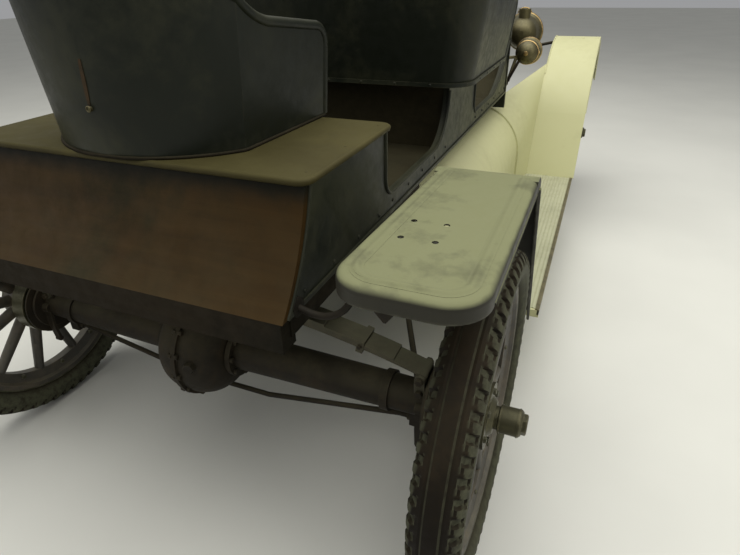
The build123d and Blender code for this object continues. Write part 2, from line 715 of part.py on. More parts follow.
entry_rear, entry_front = seat_box_front, hood_rear - 326
sill_top = 780                          # upper edge of the side between the seats
with BuildPart() as body_sides:
    for side in (-1, 1):
        with BuildSketch(side_plane(side * (body_x - panel / 2)).offset(-panel / 2)):
            with BuildLine():
                Polyline((back_foot[0] + panel, body_bottom), (firewall_rear, body_bottom),
                         (firewall_rear, 961))
                ThreePointArc((firewall_rear, 961), (entry_front + 150, 832),
                              (entry_front, sill_top - 4))
                Polyline((entry_front, sill_top - 4), (entry_rear + 30, sill_top - 4),
                         (entry_rear, sill_top + 29), (entry_rear, deck_top),
                         (seat_box_rear - 3, deck_top), (seat_box_rear - 3, 928))
                ThreePointArc((seat_box_rear - 3, 928), (seat_box_rear - 50, 823),
                              (seat_box_rear - 168, sill_top))
                Line((seat_box_rear - 168, sill_top), (footwell_rear + 28, sill_top))
                ThreePointArc((footwell_rear + 28, sill_top), (footwell_rear - 3, sill_top + 13),
                              (footwell_rear - 17, sill_top + 43))
                Polyline((footwell_rear - 17, sill_top + 43), (footwell_rear - 17, deck_top - 12),
                         (back_head[0] + panel, deck_top - 12))
                ThreePointArc((back_head[0] + panel, back_head[1]),
                              (back_waist[0] + panel, back_waist[1]),
                              (back_foot[0] + panel, back_foot[1]))
            make_face()
        extrude(amount=panel)
save(body_sides, "body_sides")

with BuildPart() as rear_deck:
    with BuildSketch(Plane.XY.offset(deck_top - 12)):
        with Locations((0, at((footwell_rear + back_head[0] - 8) / 2))):
            RectangleRounded(2 * (body_x + 8), footwell_rear - back_head[0] + 8, 22)
    extrude(amount=12)
save(rear_deck, "rear_deck")

# Seats: thin-walled tubs, open at the front, with cushions of leather
wall = 12
rear_back_z, rear_flare = 1385, 34
tub_bend, tub_front = -71, 240          # where the rear tub's sides meet its round back, its front


def rear_tub_outline(grow, front):
    # Plan of the single rear seat: sides that open a little forwards, round back.
    half = 234 + grow
    Line((-half - 12, front), (-half, at(tub_bend)))
    ThreePointArc((-half, at(tub_bend)), (0, at(tub_bend - 120) - grow), (half, at(tub_bend)))
    Line((half, at(tub_bend)), (half + 12, front))
    Line((half + 12, front), (-half - 12, front))


with BuildPart() as rear_seat_tub:
    for z, grow in ((deck_top, 0), (rear_back_z, rear_flare)):
        with BuildSketch(Plane.XY.offset(z)):
            with BuildLine():
                rear_tub_outline(grow, at(tub_front))
            make_face()
    loft(ruled=True)
    for z, grow in ((deck_top + wall, -wall), (rear_back_z + 1, rear_flare - wall)):
        with BuildSketch(Plane.XY.offset(z)):
            with BuildLine():
                rear_tub_outline(grow, at(tub_front + 60))
            make_face()
    loft(ruled=True, mode=Mode.SUBTRACT)
    # what is cut away above the arms, seen from the side
    with BuildSketch(side_plane(-400)):
        with BuildLine():
            Polyline((tub_front + 6, deck_top + 60), (tub_front + 6, rear_back_z + 10),
                     (-134, rear_back_z + 10), (-126, 1299))
            ThreePointArc((-126, 1299), (-72, 1218), (19, 1171))
            Line((19, 1171), (tub_front - 44, 1150))
            ThreePointArc((tub_front - 44, 1150), (tub_front - 12, 1137), (tub_front, 1106))
            Line((tub_front, 1106), (tub_front + 6, deck_top + 60))
        make_face()
    extrude(amount=800, mode=Mode.SUBTRACT)
save(rear_seat_tub, "rear_seat_tub")

front_back_z, front_flare = 1385, 70
front_seat_rear, front_seat_front = seat_box_rear - 99, seat_box_front + 125


def front_tub_outline(grow, back, front):
    # Plan of the front bench: long sides, quarter-round rear corners, straight back.
    half, bend = 488 + grow, 84
    rear = front_seat_rear - back
    Line((-half, at(front)), (-half, at(rear + bend)))
    ThreePointArc((-half, at(rear + bend)), (-half + bend * 0.293, at(rear + bend * 0.293)),
                  (-half + bend, at(rear)))
    Line((-half + bend, at(rear)), (half - bend, at(rear)))
    ThreePointArc((half - bend, at(rear)), (half - bend * 0.293, at(rear + bend * 0.293)),
                  (half, at(rear + bend)))
    Line((half, at(rear + bend)), (half, at(front)))
    Line((half, at(front)), (-half, at(front)))


with BuildPart() as front_seat_tub:
    for z, grow in ((deck_top, 0), (front_back_z, front_flare)):
        with BuildSketch(Plane.XY.offset(z)):
            with BuildLine():
                front_tub_outline(grow, grow, front_seat_front)
            make_face()
    loft(ruled=True)
    for z, grow in ((deck_top + wall, -wall), (front_back_z + 1, front_flare - wall)):
        with BuildSketch(Plane.XY.offset(z)):
            with BuildLine():
                front_tub_outline(grow, grow, front_seat_front + 60)
            make_face()
    loft(ruled=True, mode=Mode.SUBTRACT)
    with BuildSketch(side_plane(-700)):
        with BuildLine():
            Polyline((front_seat_front + 6, deck_top + 60), (front_seat_front + 6, front_back_z + 10),
                     (front_seat_rear + 10, front_back_z + 10), (front_seat_rear + 26, 1320))
            ThreePointArc((front_seat_rear + 26, 1320), (front_seat_rear + 110, 1220),
                          (front_seat_rear + 240, 1182))
            Line((front_seat_rear + 240, 1182), (front_seat_front - 72, 1158))
            ThreePointArc((front_seat_front - 72, 1158), (front_seat_front - 26, 1142),
                          (front_seat_front - 10, 1100))
            Line((front_seat_front - 10, 1100), (front_seat_front + 6, deck_top + 60))
        make_face()
    extrude(amount=1400, mode=Mode.SUBTRACT)
save(front_seat_tub, "front_seat_tub")

cushion_gap = 0.4
seat_top = deck_top + wall
with BuildPart() as rear_seat_cushion:
    with BuildSketch(Plane.XY.offset(seat_top + cushion_gap)):
        with BuildLine():
            rear_tub_outline(-wall - 14, at(tub_front - 4))
        make_face()
        fillet(vertices().group_by(Axis.Y)[-1], 30)
    extrude(amount=110)
    fillet(faces().sort_by(Axis.Z)[-1].edges(), 24)
save(rear_seat_cushion, "rear_seat_cushion")

with BuildPart() as rear_back_cushion:
    with BuildSketch(Plane.XY.offset(seat_top + 110.7)):
        with BuildLine():
            back, half = at(tub_bend + 20), 195
            ThreePointArc((-half, back), (0, back - 112), (half, back))
            Line((half, back), (half - 52, back + 10))
            ThreePointArc((half - 52, back + 10), (0, back - 36), (52 - half, back + 10))
            Line((52 - half, back + 10), (-half, back))
        make_face()
    extrude(amount=266)
save(rear_back_cushion, "rear_back_cushion")

with BuildPart() as front_seat_cushion:
    with BuildSketch(Plane.XY.offset(seat_top + cushion_gap)):
        with Locations((0, at((front_seat_rear + front_seat_front) / 2 + 6))):
            RectangleRounded(906, front_seat_front - front_seat_rear - 32, 60)
    extrude(amount=120)
    fillet(faces().sort_by(Axis.Z)[-1].edges(), 28)
save(front_seat_cushion, "front_seat_cushion")

with BuildPart() as front_back_cushion:
    with BuildSketch(side_plane(-455)):
        with BuildLine():
            Polyline(*[(front_seat_rear + y, z) for y, z in (
                (10, seat_top + 120.7), (100, seat_top + 120.7), (62, front_back_z - 20),
                (-38, front_back_z - 20))], close=True)
        make_face()
        fillet(vertices(), 26)
    extrude(amount=910)
save(front_back_cushion, "front_back_cushion")

# Fenders, running boards and aprons of sheet steel
fender_in, fender_out, board_out = 520, 752, 781
board_rear, board_front = 602, wheelbase - 610
board_top, board_thick = 297, 25
apron_foot = 503            # outer face of the splash apron where it meets the board's inner edge
apron_rear, apron_front = 480, hood_rear
lip, fender_top = 34, 848
flat_rear, flat_front = -304, 250       # ends of the rear fender's level part
fender_splay = 20           # how much wider it is at the rear, on its inner side
bolt_x, bolt_y = 597, -82   # middle of its four bolt holes


def fender_plan(inset, front):
    # Plan of the rear fender's level part: a strip with rounded rear corners.
    low, high, rear = fender_in + inset, fender_out - inset, at(flat_rear + inset)
    FilletPolyline((low, at(front)), (low - fender_splay, rear), (high, rear), (high, at(front)),
                   radius=72 - inset)
    Line((high, at(front)), (low, at(front)))


with BuildPart() as rear_fenders:
    # level part of the right fender: a pan with a rolled lip, open below and in front
    with BuildSketch(Plane.XY.offset(fender_top - lip)):
        with BuildLine():
            fender_plan(0, flat_front)
        make_face()
    extrude(amount=lip)
    fillet(faces().sort_by(Axis.Z)[-1].edges().sort_by(Axis.Y)[:-1], 13)
    offset(amount=-sheet, openings=[faces().sort_by(Axis.Z)[0], faces().sort_by(Axis.Y)[-1]])
    # pressed bead, parallel to its edge
    with BuildSketch(Plane.XY.offset(fender_top - 1)):
        for inset, mode in ((29, Mode.ADD), (36, Mode.SUBTRACT)):
            with BuildLine():
                fender_plan(inset, flat_front + (0 if mode == Mode.ADD else 5))
            make_face(mode=mode)
    extrude(amount=3.5)
    # slope down to the running board, with its outer lip
    for low, high, deep in ((fender_in, fender_out, sheet), (fender_out - sheet, fender_out, lip)):
        with BuildSketch(side_plane(low)):
            with BuildLine():
                FilletPolyline((flat_front - 12, fender_top), (flat_front + 46, fender_top),
                               (board_rear - 3, board_top), radius=56)
                offset(amount=deep, side=Side.RIGHT)
            make_face()
        extrude(amount=high - low)
    with BuildSketch(Plane.XY.offset(fender_top - 20)):
        with Locations((bolt_x, at(bolt_y))):
            with GridLocations(62, 74, 2, 2):
                Circle(6)
    extrude(amount=40, mode=Mode.SUBTRACT)
    mirror(about=Plane.YZ)
save(rear_fenders, "rear_fenders")

crest = axle_z + 527
fender_plate = 550          # inner edge of the front fender
front_fender_out = fender_out + 35


def on_fender(radius, y):
    # Point of an arc about the front axle, seen from the side.
    return y, axle_z + math.sqrt(radius ** 2 - (wheelbase - y) ** 2)


fender_round = crest - axle_z
fender_foot, fender_knee = (board_front, board_top), on_fender(fender_round, wheelbase - 482)
fender_tip = on_fender(fender_round, wheelbase + fender_reach)
with BuildPart() as front_fenders:
    for side in (-1, 1):
        for low, high, deep in ((fender_plate, front_fender_out, sheet),
                                (front_fender_out - sheet, front_fender_out, 24)):
            start = min(side * low, side * high)
            with BuildSketch(side_plane(start)):
                with BuildLine():
                    Line(fender_foot, fender_knee)
                    ThreePointArc(fender_knee, (wheelbase, crest), fender_tip)
                    offset(amount=deep, side=Side.RIGHT)
                make_face()
            extrude(amount=high - low)
save(front_fenders, "front_fenders")

with BuildPart() as running_boards:
    for side in (-1, 1):
        with Locations((side * (apron_foot + board_out) / 2, at((board_rear + board_front) / 2),
                        board_top - board_thick / 2)):
            Box(board_out - apron_foot, board_front - board_rear, board_thick)
        # the inner front corner is cut along the front apron's foot
        with BuildSketch(Plane.XY.offset(board_top - board_thick)):
            with BuildLine():
                Polyline((side * apron_foot, at(apron_front)), (side * fender_plate, at(board_front)),
                         (side * apron_foot, at(board_front)), close=True)
            make_face()
        extrude(amount=board_thick, mode=Mode.SUBTRACT)
save(running_boards, "running_boards")

with BuildPart() as board_brackets:
    for place in (board_rear + 245, board_front - 279):
        for side in (-1, 1):
            with BuildSketch(cross_plane(place)):
                with BuildLine():
                    foot = board_top - board_thick
                    Polyline(*[(side * x, z) for x, z in (
                        (rail_x, 648), (rail_x + 12, 648), (rail_x + 52, 560), (apron_foot - 70, foot),
                        (board_out - 26, foot), (board_out - 26, foot - 10), (apron_foot - 80, foot - 10),
                        (rail_x + 36, 548), (rail_x, 590))], close=True)
                make_face()
            extrude(amount=36)
save(board_brackets, "board_brackets")


def apron_section(side, inset):
    # Section of the splash apron from the running board up and in to the frame's rail.
    shift = side * inset
    Line((side * apron_foot - shift, board_top), (side * apron_foot - shift, 430))
    ThreePointArc((side * apron_foot - shift, 430), (side * (apron_foot - 42) - shift, 566),
                  (side * (rail_x + 36) - shift, rail_top - sheet))


def apron_ends(side):
    # The two short edges that close the section's sheet.
    for x, z in ((apron_foot, board_top), (rail_x + 36, rail_top - sheet)):
        Line((side * x, z), (side * (x - sheet), z))


with BuildPart() as splash_aprons:
    for side in (-1, 1):
        with BuildSketch(cross_plane(apron_rear)):
            with BuildLine():
                apron_section(side, 0)
                apron_section(side, sheet)
                apron_ends(side)
            make_face()
            # its foot against the board's edge, and its top flange against the rail
            with Locations((side * (apron_foot - sheet / 2), board_top - 10)):
                Rectangle(sheet, 24)
            with Locations((side * (rail_x + 19), rail_top - sheet - 1.75)):
                Rectangle(38, 3.5)
        extrude(amount=-(apron_front - apron_rear))
save(splash_aprons, "splash_aprons")

# Apron between each splash apron's front end and the front fender's inner edge
with BuildPart() as front_aprons:
    for side in (-1, 1):
        with BuildLine(side_plane(side * fender_plate), mode=Mode.PRIVATE) as front_edge:
            Line(fender_foot, fender_knee)
            ThreePointArc(fender_knee, on_fender(fender_round, wheelbase - 400),
                          on_fender(fender_round, wheelbase - 310))
        with BuildLine(cross_plane(apron_front), mode=Mode.PRIVATE) as rear_edge:
            apron_section(side, 0)
        for front, rear in zip(front_edge.edges(), rear_edge.edges()):
            extrude(Face.make_surface_from_curves(front, rear), amount=sheet,
                    dir=(-0.75 * side, 0.35, -0.55))
save(front_aprons, "front_aprons")

# Rods that carry the fenders from plates on the rails
iron_tip = axle_z + math.sqrt((crest - sheet - axle_z) ** 2 - 48 ** 2) - 8.1
with BuildPart() as fender_irons:
    for place, root_z, knee, tip_z, tip_x in (
            (60, 636, (rail_x + 128, 690), fender_top - sheet - 8, fender_out - 42),
            (wheelbase - 48, 640, (rail_x + 108, 850), iron_tip, front_fender_out - 37)):
        for side in (-1, 1):
            with Locations((side * (rail_x + 5), at(place), root_z)):
                Box(10, 40, 36)
            points = [Vector(side * x, at(place), z) for x, z in (
                (rail_x + 9, root_z), knee, (tip_x - 150, tip_z), (tip_x, tip_z))]
            with BuildLine(Plane.XY):
                FilletPolyline(*points, radius=40)
            with BuildSketch(Plane(origin=points[0], z_dir=(points[1] - points[0]).normalized())):
                Circle(8)
            sweep()
save(fender_irons, "fender_irons")

# Lamps: two headlamps on posts at the frame's front, two side lamps on the firewall
lamp_x, lamp_y, lamp_z, lamp_radius = 350, wheelbase + 80, 915, 104
post_y = wheelbase + 16
with BuildPart() as headlamps:
    for side in (-1, 1):
        with BuildSketch(Plane(origin=(side * lamp_x, at(lamp_y), lamp_z), x_dir=(0, 1, 0),
                               z_dir=(1, 0, 0))):
            with BuildLine():
                Polyline((64, 0), (64, lamp_radius - 12), (76, lamp_radius - 8), (76, lamp_radius),
                         (56, lamp_radius), (44, lamp_radius - 10), (-20, lamp_radius - 22))
                ThreePointArc((-20, lamp_radius - 22), (-58, 54), (-74, 16))
                Polyline((-74, 16), (-74, 0), (64, 0))
            make_face()
        revolve(axis=Axis((side * lamp_x, at(lamp_y), lamp_z), (0, 1, 0)))
        with BuildSketch(Plane.XY.offset(lamp_z + lamp_radius - 40)):
            with Locations((side * lamp_x, at(lamp_y + 4))):
                Circle(34)
        extrude(amount=64)
        foot = Vector(side * (rail_x + 11), at(post_y), 650)
        top = Vector(side * lamp_x, at(lamp_y), lamp_z - 60)
        with BuildSketch(Plane(origin=foot, z_dir=(top - foot).normalized())):
            Circle(10)
        extrude(amount=(top - foot).length)
        with Locations((side * (rail_x + 6), at(post_y), 644)):
            Box(12, 36, 30)
save(headlamps, "headlamps")

side_lamp = (490, hood_rear + 50, 905)
with BuildPart() as side_lamps:
    for side in (-1, 1):
        lamp_place = (side * side_lamp[0], at(side_lamp[1]), side_lamp[2])
        # drum with a domed back, a flange and a lens in front
        with BuildSketch(Plane(origin=lamp_place, x_dir=(0, 1, 0), z_dir=(1, 0, 0))):
            with BuildLine():
                Polyline((50, 0), (50, 44), (58, 50), (58, 58), (44, 58), (40, 52), (-10, 50))
                ThreePointArc((-10, 50), (-38, 34), (-50, 10))
                Polyline((-50, 10), (-50, 0), (50, 0))
            make_face()
        revolve(axis=Axis(lamp_place, (0, 1, 0)))
        start = Vector(side * (firewall_half - 12), at(hood_rear), side_lamp[2] - 20)
        finish = Vector(side * (side_lamp[0] - 30), at(side_lamp[1]), side_lamp[2] - 20)
        with BuildSketch(Plane(origin=start, x_dir=(1, 0, 0), z_dir=(0, -1, 0))):
            Circle(7)
        extrude(amount=(finish - start).length, dir=(finish - start).normalized())
save(side_lamps, "side_lamps")

# Starting crank under the radiator
crank_z, crank_y = 500, wheelbase + 150
with BuildPart() as crank:
    with BuildSketch(cross_plane(crank_y - 250)):
        with Locations((0, crank_z)):
            Circle(11)
    extrude(amount=-262)
    crank_tip = (128, crank_z - 92)
    with BuildSketch(cross_plane(crank_y)):
        with BuildLine():
            Polyline((-8, crank_z + 12), (8, crank_z + 14), (crank_tip[0] + 10, crank_tip[1] + 6),
                     (crank_tip[0] - 4, crank_tip[1] - 12), (-10, crank_z - 10), close=True)
        make_face()
    extrude(amount=-12)
    with BuildSketch(cross_plane(crank_y)):
        with Locations(crank_tip):
            Circle(13)
    extrude(amount=-105)
save(crank, "crank")

# Driver's pedals and hand lever


def toe_top(y):
    # Height of the sloping toe board's upper face.
    return floor_top + (y - toe_foot) * (856 - floor_top) / (firewall_rear - toe_foot)


pedal_y, lever_y = toe_foot + 60, toe_foot - 108
with BuildPart() as controls:
    for x in (-300, -225, -150):
        with BuildSketch(side_plane(x - 5)):
            with BuildLine():
                Polyline((pedal_y, toe_top(pedal_y)), (pedal_y + 14, toe_top(pedal_y + 14)),
                         (pedal_y + 10, 885), (pedal_y - 8, 930), (pedal_y - 16, 926),
                         (pedal_y - 2, 880), close=True)
            make_face()
        extrude(amount=10)
        with BuildSketch(Plane(origin=(x, at(pedal_y - 11), 928), x_dir=(1, 0, 0),
                               z_dir=(0, -1, 0.45))):
            RectangleRounded(50, 76, 10)
        extrude(amount=6)
    with BuildSketch(side_plane(-387)):
        with BuildLine():
            Polyline(*[(lever_y + y, z) for y, z in (
                (0, floor_top), (26, floor_top), (-88, 1130), (-102, 1127))], close=True)
        make_face()
    extrude(amount=10)
    with BuildSketch(Plane(origin=(-382, at(lever_y - 90), 1115), z_dir=Vector(0, -0.28, 0.96))):
        Circle(12)
    extrude(amount=110)
save(controls, "controls")
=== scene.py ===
import json
import math

import bmesh
import bpy
import numpy as np
from mathutils import Matrix, Vector


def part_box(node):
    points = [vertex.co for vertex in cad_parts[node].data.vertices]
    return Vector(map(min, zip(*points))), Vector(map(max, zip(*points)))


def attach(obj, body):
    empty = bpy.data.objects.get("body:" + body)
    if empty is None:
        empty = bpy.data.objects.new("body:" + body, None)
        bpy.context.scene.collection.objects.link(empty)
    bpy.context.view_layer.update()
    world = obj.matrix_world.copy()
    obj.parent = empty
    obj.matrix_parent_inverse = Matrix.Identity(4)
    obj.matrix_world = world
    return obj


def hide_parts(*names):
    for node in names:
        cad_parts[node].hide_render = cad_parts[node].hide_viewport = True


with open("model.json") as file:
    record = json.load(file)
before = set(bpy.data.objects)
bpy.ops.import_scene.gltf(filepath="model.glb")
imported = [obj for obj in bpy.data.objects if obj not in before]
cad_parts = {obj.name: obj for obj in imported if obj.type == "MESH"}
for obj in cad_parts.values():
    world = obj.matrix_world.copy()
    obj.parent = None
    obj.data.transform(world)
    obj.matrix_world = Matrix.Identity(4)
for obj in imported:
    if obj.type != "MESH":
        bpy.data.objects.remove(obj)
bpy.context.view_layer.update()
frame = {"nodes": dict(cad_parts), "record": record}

mm = 0.001


def newGroup(name, inputs, outputs):
    group = bpy.data.node_groups.new(name, "ShaderNodeTree")
    for label, kind, value in inputs:
        socket = group.interface.new_socket(name=label, in_out="INPUT", socket_type=kind)
        socket.default_value = value
    for label in outputs:
        group.interface.new_socket(name=label, in_out="OUTPUT", socket_type=number)
    return group, group.nodes.new("NodeGroupInput").outputs, group.nodes.new("NodeGroupOutput").inputs


def addNode(tree, kind, values=None, **settings):
    node = tree.nodes.new(kind)
    for key, value in settings.items():
        setattr(node, key, value)
    for key, value in (values or {}).items():
        if isinstance(value, bpy.types.NodeSocket):
            tree.links.new(value, node.inputs[key])
        else:
            node.inputs[key].default_value = value
    return node


def mathNode(tree, operation, first, second=0.0, clamp=False):
    node = addNode(tree, "ShaderNodeMath", {0: first, 1: second}, operation=operation)
    node.use_clamp = clamp
    return node.outputs[0]


def stepRange(tree, value, low, high, outLow=0.0, outHigh=1.0, curve="SMOOTHSTEP"):
    ends = {"Value": value, "From Min": low, "From Max": high, "To Min": outLow, "To Max": outHigh}
    return addNode(tree, "ShaderNodeMapRange", ends, interpolation_type=curve).outputs["Result"]


def mixColour(tree, mask, first, second, blend="MIX"):
    node = tree.nodes.new("ShaderNodeMix")
    node.data_type, node.blend_type = "RGBA", blend
    for index, value in ((0, mask), (6, first), (7, second)):
        if isinstance(value, bpy.types.NodeSocket):
            tree.links.new(value, node.inputs[index])
        else:
            node.inputs[index].default_value = value if index == 0 else (*value, 1.0)
    return node.outputs[2]


def objectPlace(tree):
    return addNode(tree, "ShaderNodeTexCoord").outputs["Object"]


def surfaceNormal(tree):
    return addNode(tree, "ShaderNodeNewGeometry").outputs["Normal"]


def part(tree, vector, axis):
    return addNode(tree, "ShaderNodeSeparateXYZ", {0: vector}).outputs[axis]


def noise(tree, place, scale, detail, roughness=0.5, distortion=0.0):
    return addNode(tree, "ShaderNodeTexNoise", {"Vector": place, "Scale": scale, "Detail": detail,
                   "Roughness": roughness, "Distortion": distortion}).outputs["Fac"]


number, vector = "NodeSocketFloat", "NodeSocketVector"


def makePatchGroup():
    # two scales of noise added and thresholded: stains, patches, tarnish
    group, source, target = newGroup("stainPatches", (
        ("Scale", number, 4.0), ("Low", number, 0.45), ("High", number, 0.62)), ("Mask", "Fine"))
    place = objectPlace(group)
    broad = noise(group, place, source["Scale"], 7.0, 0.62, 0.4)
    fine = noise(group, place, mathNode(group, "MULTIPLY", source["Scale"], 9.0), 5.0, 0.7)
    level = mathNode(group, "ADD", mathNode(group, "MULTIPLY", broad, 0.78),
                     mathNode(group, "MULTIPLY", fine, 0.22))
    group.links.new(stepRange(group, level, source["Low"], source["High"]), target["Mask"])
    group.links.new(fine, target["Fine"])
    return group


def makeDustGroup():
    # dust lies on what faces up, thinned by noise
    group, source, target = newGroup("settledDust", (
        ("Scale", number, 12.0), ("Amount", number, 0.5), ("Low", number, 0.15), ("High", number, 0.95)),
        ("Mask",))
    facing = stepRange(group, part(group, surfaceNormal(group), "Z"), source["Low"], source["High"],
                       curve="LINEAR")
    cloud = noise(group, objectPlace(group), source["Scale"], 8.0, 0.65)
    patchy = stepRange(group, cloud, 0.30, 0.68, 0.35, 1.0)
    group.links.new(mathNode(group, "MULTIPLY", mathNode(group, "MULTIPLY", facing, patchy),
                             source["Amount"], clamp=True), target["Mask"])
    return group


def makeEdgeGroup():
    # where a rounded normal leaves the true one there is an edge; noise breaks the line up
    group, source, target = newGroup("edgeRub", (
        ("Scale", number, 30.0), ("Amount", number, 0.6)), ("Mask",))
    soft = addNode(group, "ShaderNodeBevel", {"Radius": 0.006}, samples=4).outputs[0]
    agree = addNode(group, "ShaderNodeVectorMath", {0: surfaceNormal(group), 1: soft},
                    operation="DOT_PRODUCT").outputs["Value"]
    edge = stepRange(group, agree, 0.995, 0.90)
    broken = stepRange(group, noise(group, objectPlace(group), source["Scale"], 4.0), 0.38, 0.62)
    group.links.new(mathNode(group, "MULTIPLY", mathNode(group, "MULTIPLY", edge, broken),
                             source["Amount"], clamp=True), target["Mask"])
    return group


def makeGrainGroup():
    # long soft streaks along one axis: wood grain and brushing
    group, source, target = newGroup("longGrain", (
        ("Stretch", vector, (40.0, 2.0, 40.0)), ("Contrast", number, 1.6)), ("Grain", "Pore"))
    scaled = addNode(group, "ShaderNodeVectorMath", {0: objectPlace(group), 1: source["Stretch"]},
                     operation="MULTIPLY").outputs[0]
    centred = mathNode(group, "SUBTRACT", noise(group, scaled, 1.0, 6.0, 0.6, 0.8), 0.5)
    grain = mathNode(group, "ADD", mathNode(group, "MULTIPLY", centred, source["Contrast"]), 0.5, clamp=True)
    group.links.new(grain, target["Grain"])
    group.links.new(noise(group, scaled, 6.0, 3.0, 0.75), target["Pore"])
    return group


stainPatches, settledDust = makePatchGroup(), makeDustGroup()
edgeRub, longGrain = makeEdgeGroup(), makeGrainGroup()


def useGroup(tree, group, **values):
    node = tree.nodes.new("ShaderNodeGroup")
    node.node_tree = group
    for key, value in values.items():
        node.inputs[key].default_value = value
    return node.outputs


def newMaterial(name):
    material = bpy.data.materials.new(name)
    material.use_nodes = True
    return material, material.node_tree, material.node_tree.nodes["Principled BSDF"].inputs


# what a finish has where its own settings don't say otherwise
plainFinish = {"stainScale": 3.0, "stainLow": 0.45, "stainHigh": 0.65, "stainAmount": 0.8, "roughness": 0.5,
               "grainAmount": 0.7, "edgeAmount": 0.6, "dust": (0.30, 0.29, 0.20), "dustScale": 9.0,
               "dustAmount": 0.4, "dustLow": 0.15, "dustHigh": 0.95, "bump": 0.15, "bumpDepth": 0.0012,
               "metallic": 0.0, "specular": 0.5}


def agedFinish(name, settings):
    # base colour, then stains, grain, rubbed edges and dust over it; roughness and bump follow the masks
    material, tree, shader = newMaterial(name)
    look = {**plainFinish, **settings}
    patches = useGroup(tree, stainPatches, Scale=look["stainScale"], Low=look["stainLow"],
                       High=look["stainHigh"])
    fine = patches["Fine"]
    stained = mathNode(tree, "MULTIPLY", patches["Mask"], look["stainAmount"])
    colour, height = mixColour(tree, stained, look["base"], look["stain"]), fine
    if "stretch" in look:
        grain = useGroup(tree, longGrain, Stretch=look["stretch"])
        streaks = mixColour(tree, grain["Grain"], look["grainDark"], look["grainLight"])
        colour = mixColour(tree, look["grainAmount"], colour, streaks, "MULTIPLY")
        height = mathNode(tree, "ADD", mathNode(tree, "MULTIPLY", grain["Pore"], 0.8),
                          mathNode(tree, "MULTIPLY", fine, 0.2))
    if "edge" in look:
        rub = useGroup(tree, edgeRub, Amount=look["edgeAmount"])
        colour = mixColour(tree, rub["Mask"], colour, look["edge"])
    if "band" in look:  # painted shade: a darker colour above a level that wanders a little, the shadow under an overhanging lip
        level = mathNode(tree, "ADD", part(tree, objectPlace(tree), "Z"),
                         mathNode(tree, "MULTIPLY", fine, 0.03))
        colour = mixColour(tree, stepRange(tree, level, *look["band"]), colour, look["bandColour"])
    if "flank" in look:  # another colour on what faces sideways, such as a tyre's walls
        sideways = mathNode(tree, "ABSOLUTE", part(tree, surfaceNormal(tree), "X"))
        worn = mathNode(tree, "MULTIPLY", stepRange(tree, sideways, 0.45, 0.85),
                        stepRange(tree, fine, 0.30, 0.62, 0.35, 1.0))
        colour = mixColour(tree, worn, colour, look["flank"])
    dust = useGroup(tree, settledDust, Scale=look["dustScale"], Amount=look["dustAmount"],
                    Low=look["dustLow"], High=look["dustHigh"])["Mask"]
    tree.links.new(mixColour(tree, dust, colour, look["dust"]), shader["Base Color"])
    varied = stepRange(tree, fine, 0.25, 0.75, look["roughness"] - 0.08, look["roughness"] + 0.10)
    tree.links.new(mathNode(tree, "ADD", varied, mathNode(tree, "MULTIPLY", dust, 0.35), clamp=True),
                   shader["Roughness"])
    bump = addNode(tree, "ShaderNodeBump", {"Strength": look["bump"], "Distance": look["bumpDepth"],
                                           "Height": height})
    tree.links.new(bump.outputs[0], shader["Normal"])
    shader["Metallic"].default_value = look["metallic"]
    shader["Specular IOR Level"].default_value = look["specular"]
    if "coat" in look:
        shader["Coat Weight"].default_value = look["coat"]
        shader["Coat Roughness"].default_value = 0.3
    return material


def lampGlass(name):
    # clear pressed glass, a little dusty
    material, tree, shader = newMaterial(name)
    shader["Base Color"].default_value = (0.93, 0.95, 0.92, 1)
    shader["Transmission Weight"].default_value = 0.9
    shader["IOR"].default_value = 1.45
    patches = useGroup(tree, stainPatches, Scale=14.0, Low=0.42, High=0.7)
    tree.links.new(stepRange(tree, patches["Mask"], 0.0, 1.0, 0.06, 0.30), shader["Roughness"])
    return material


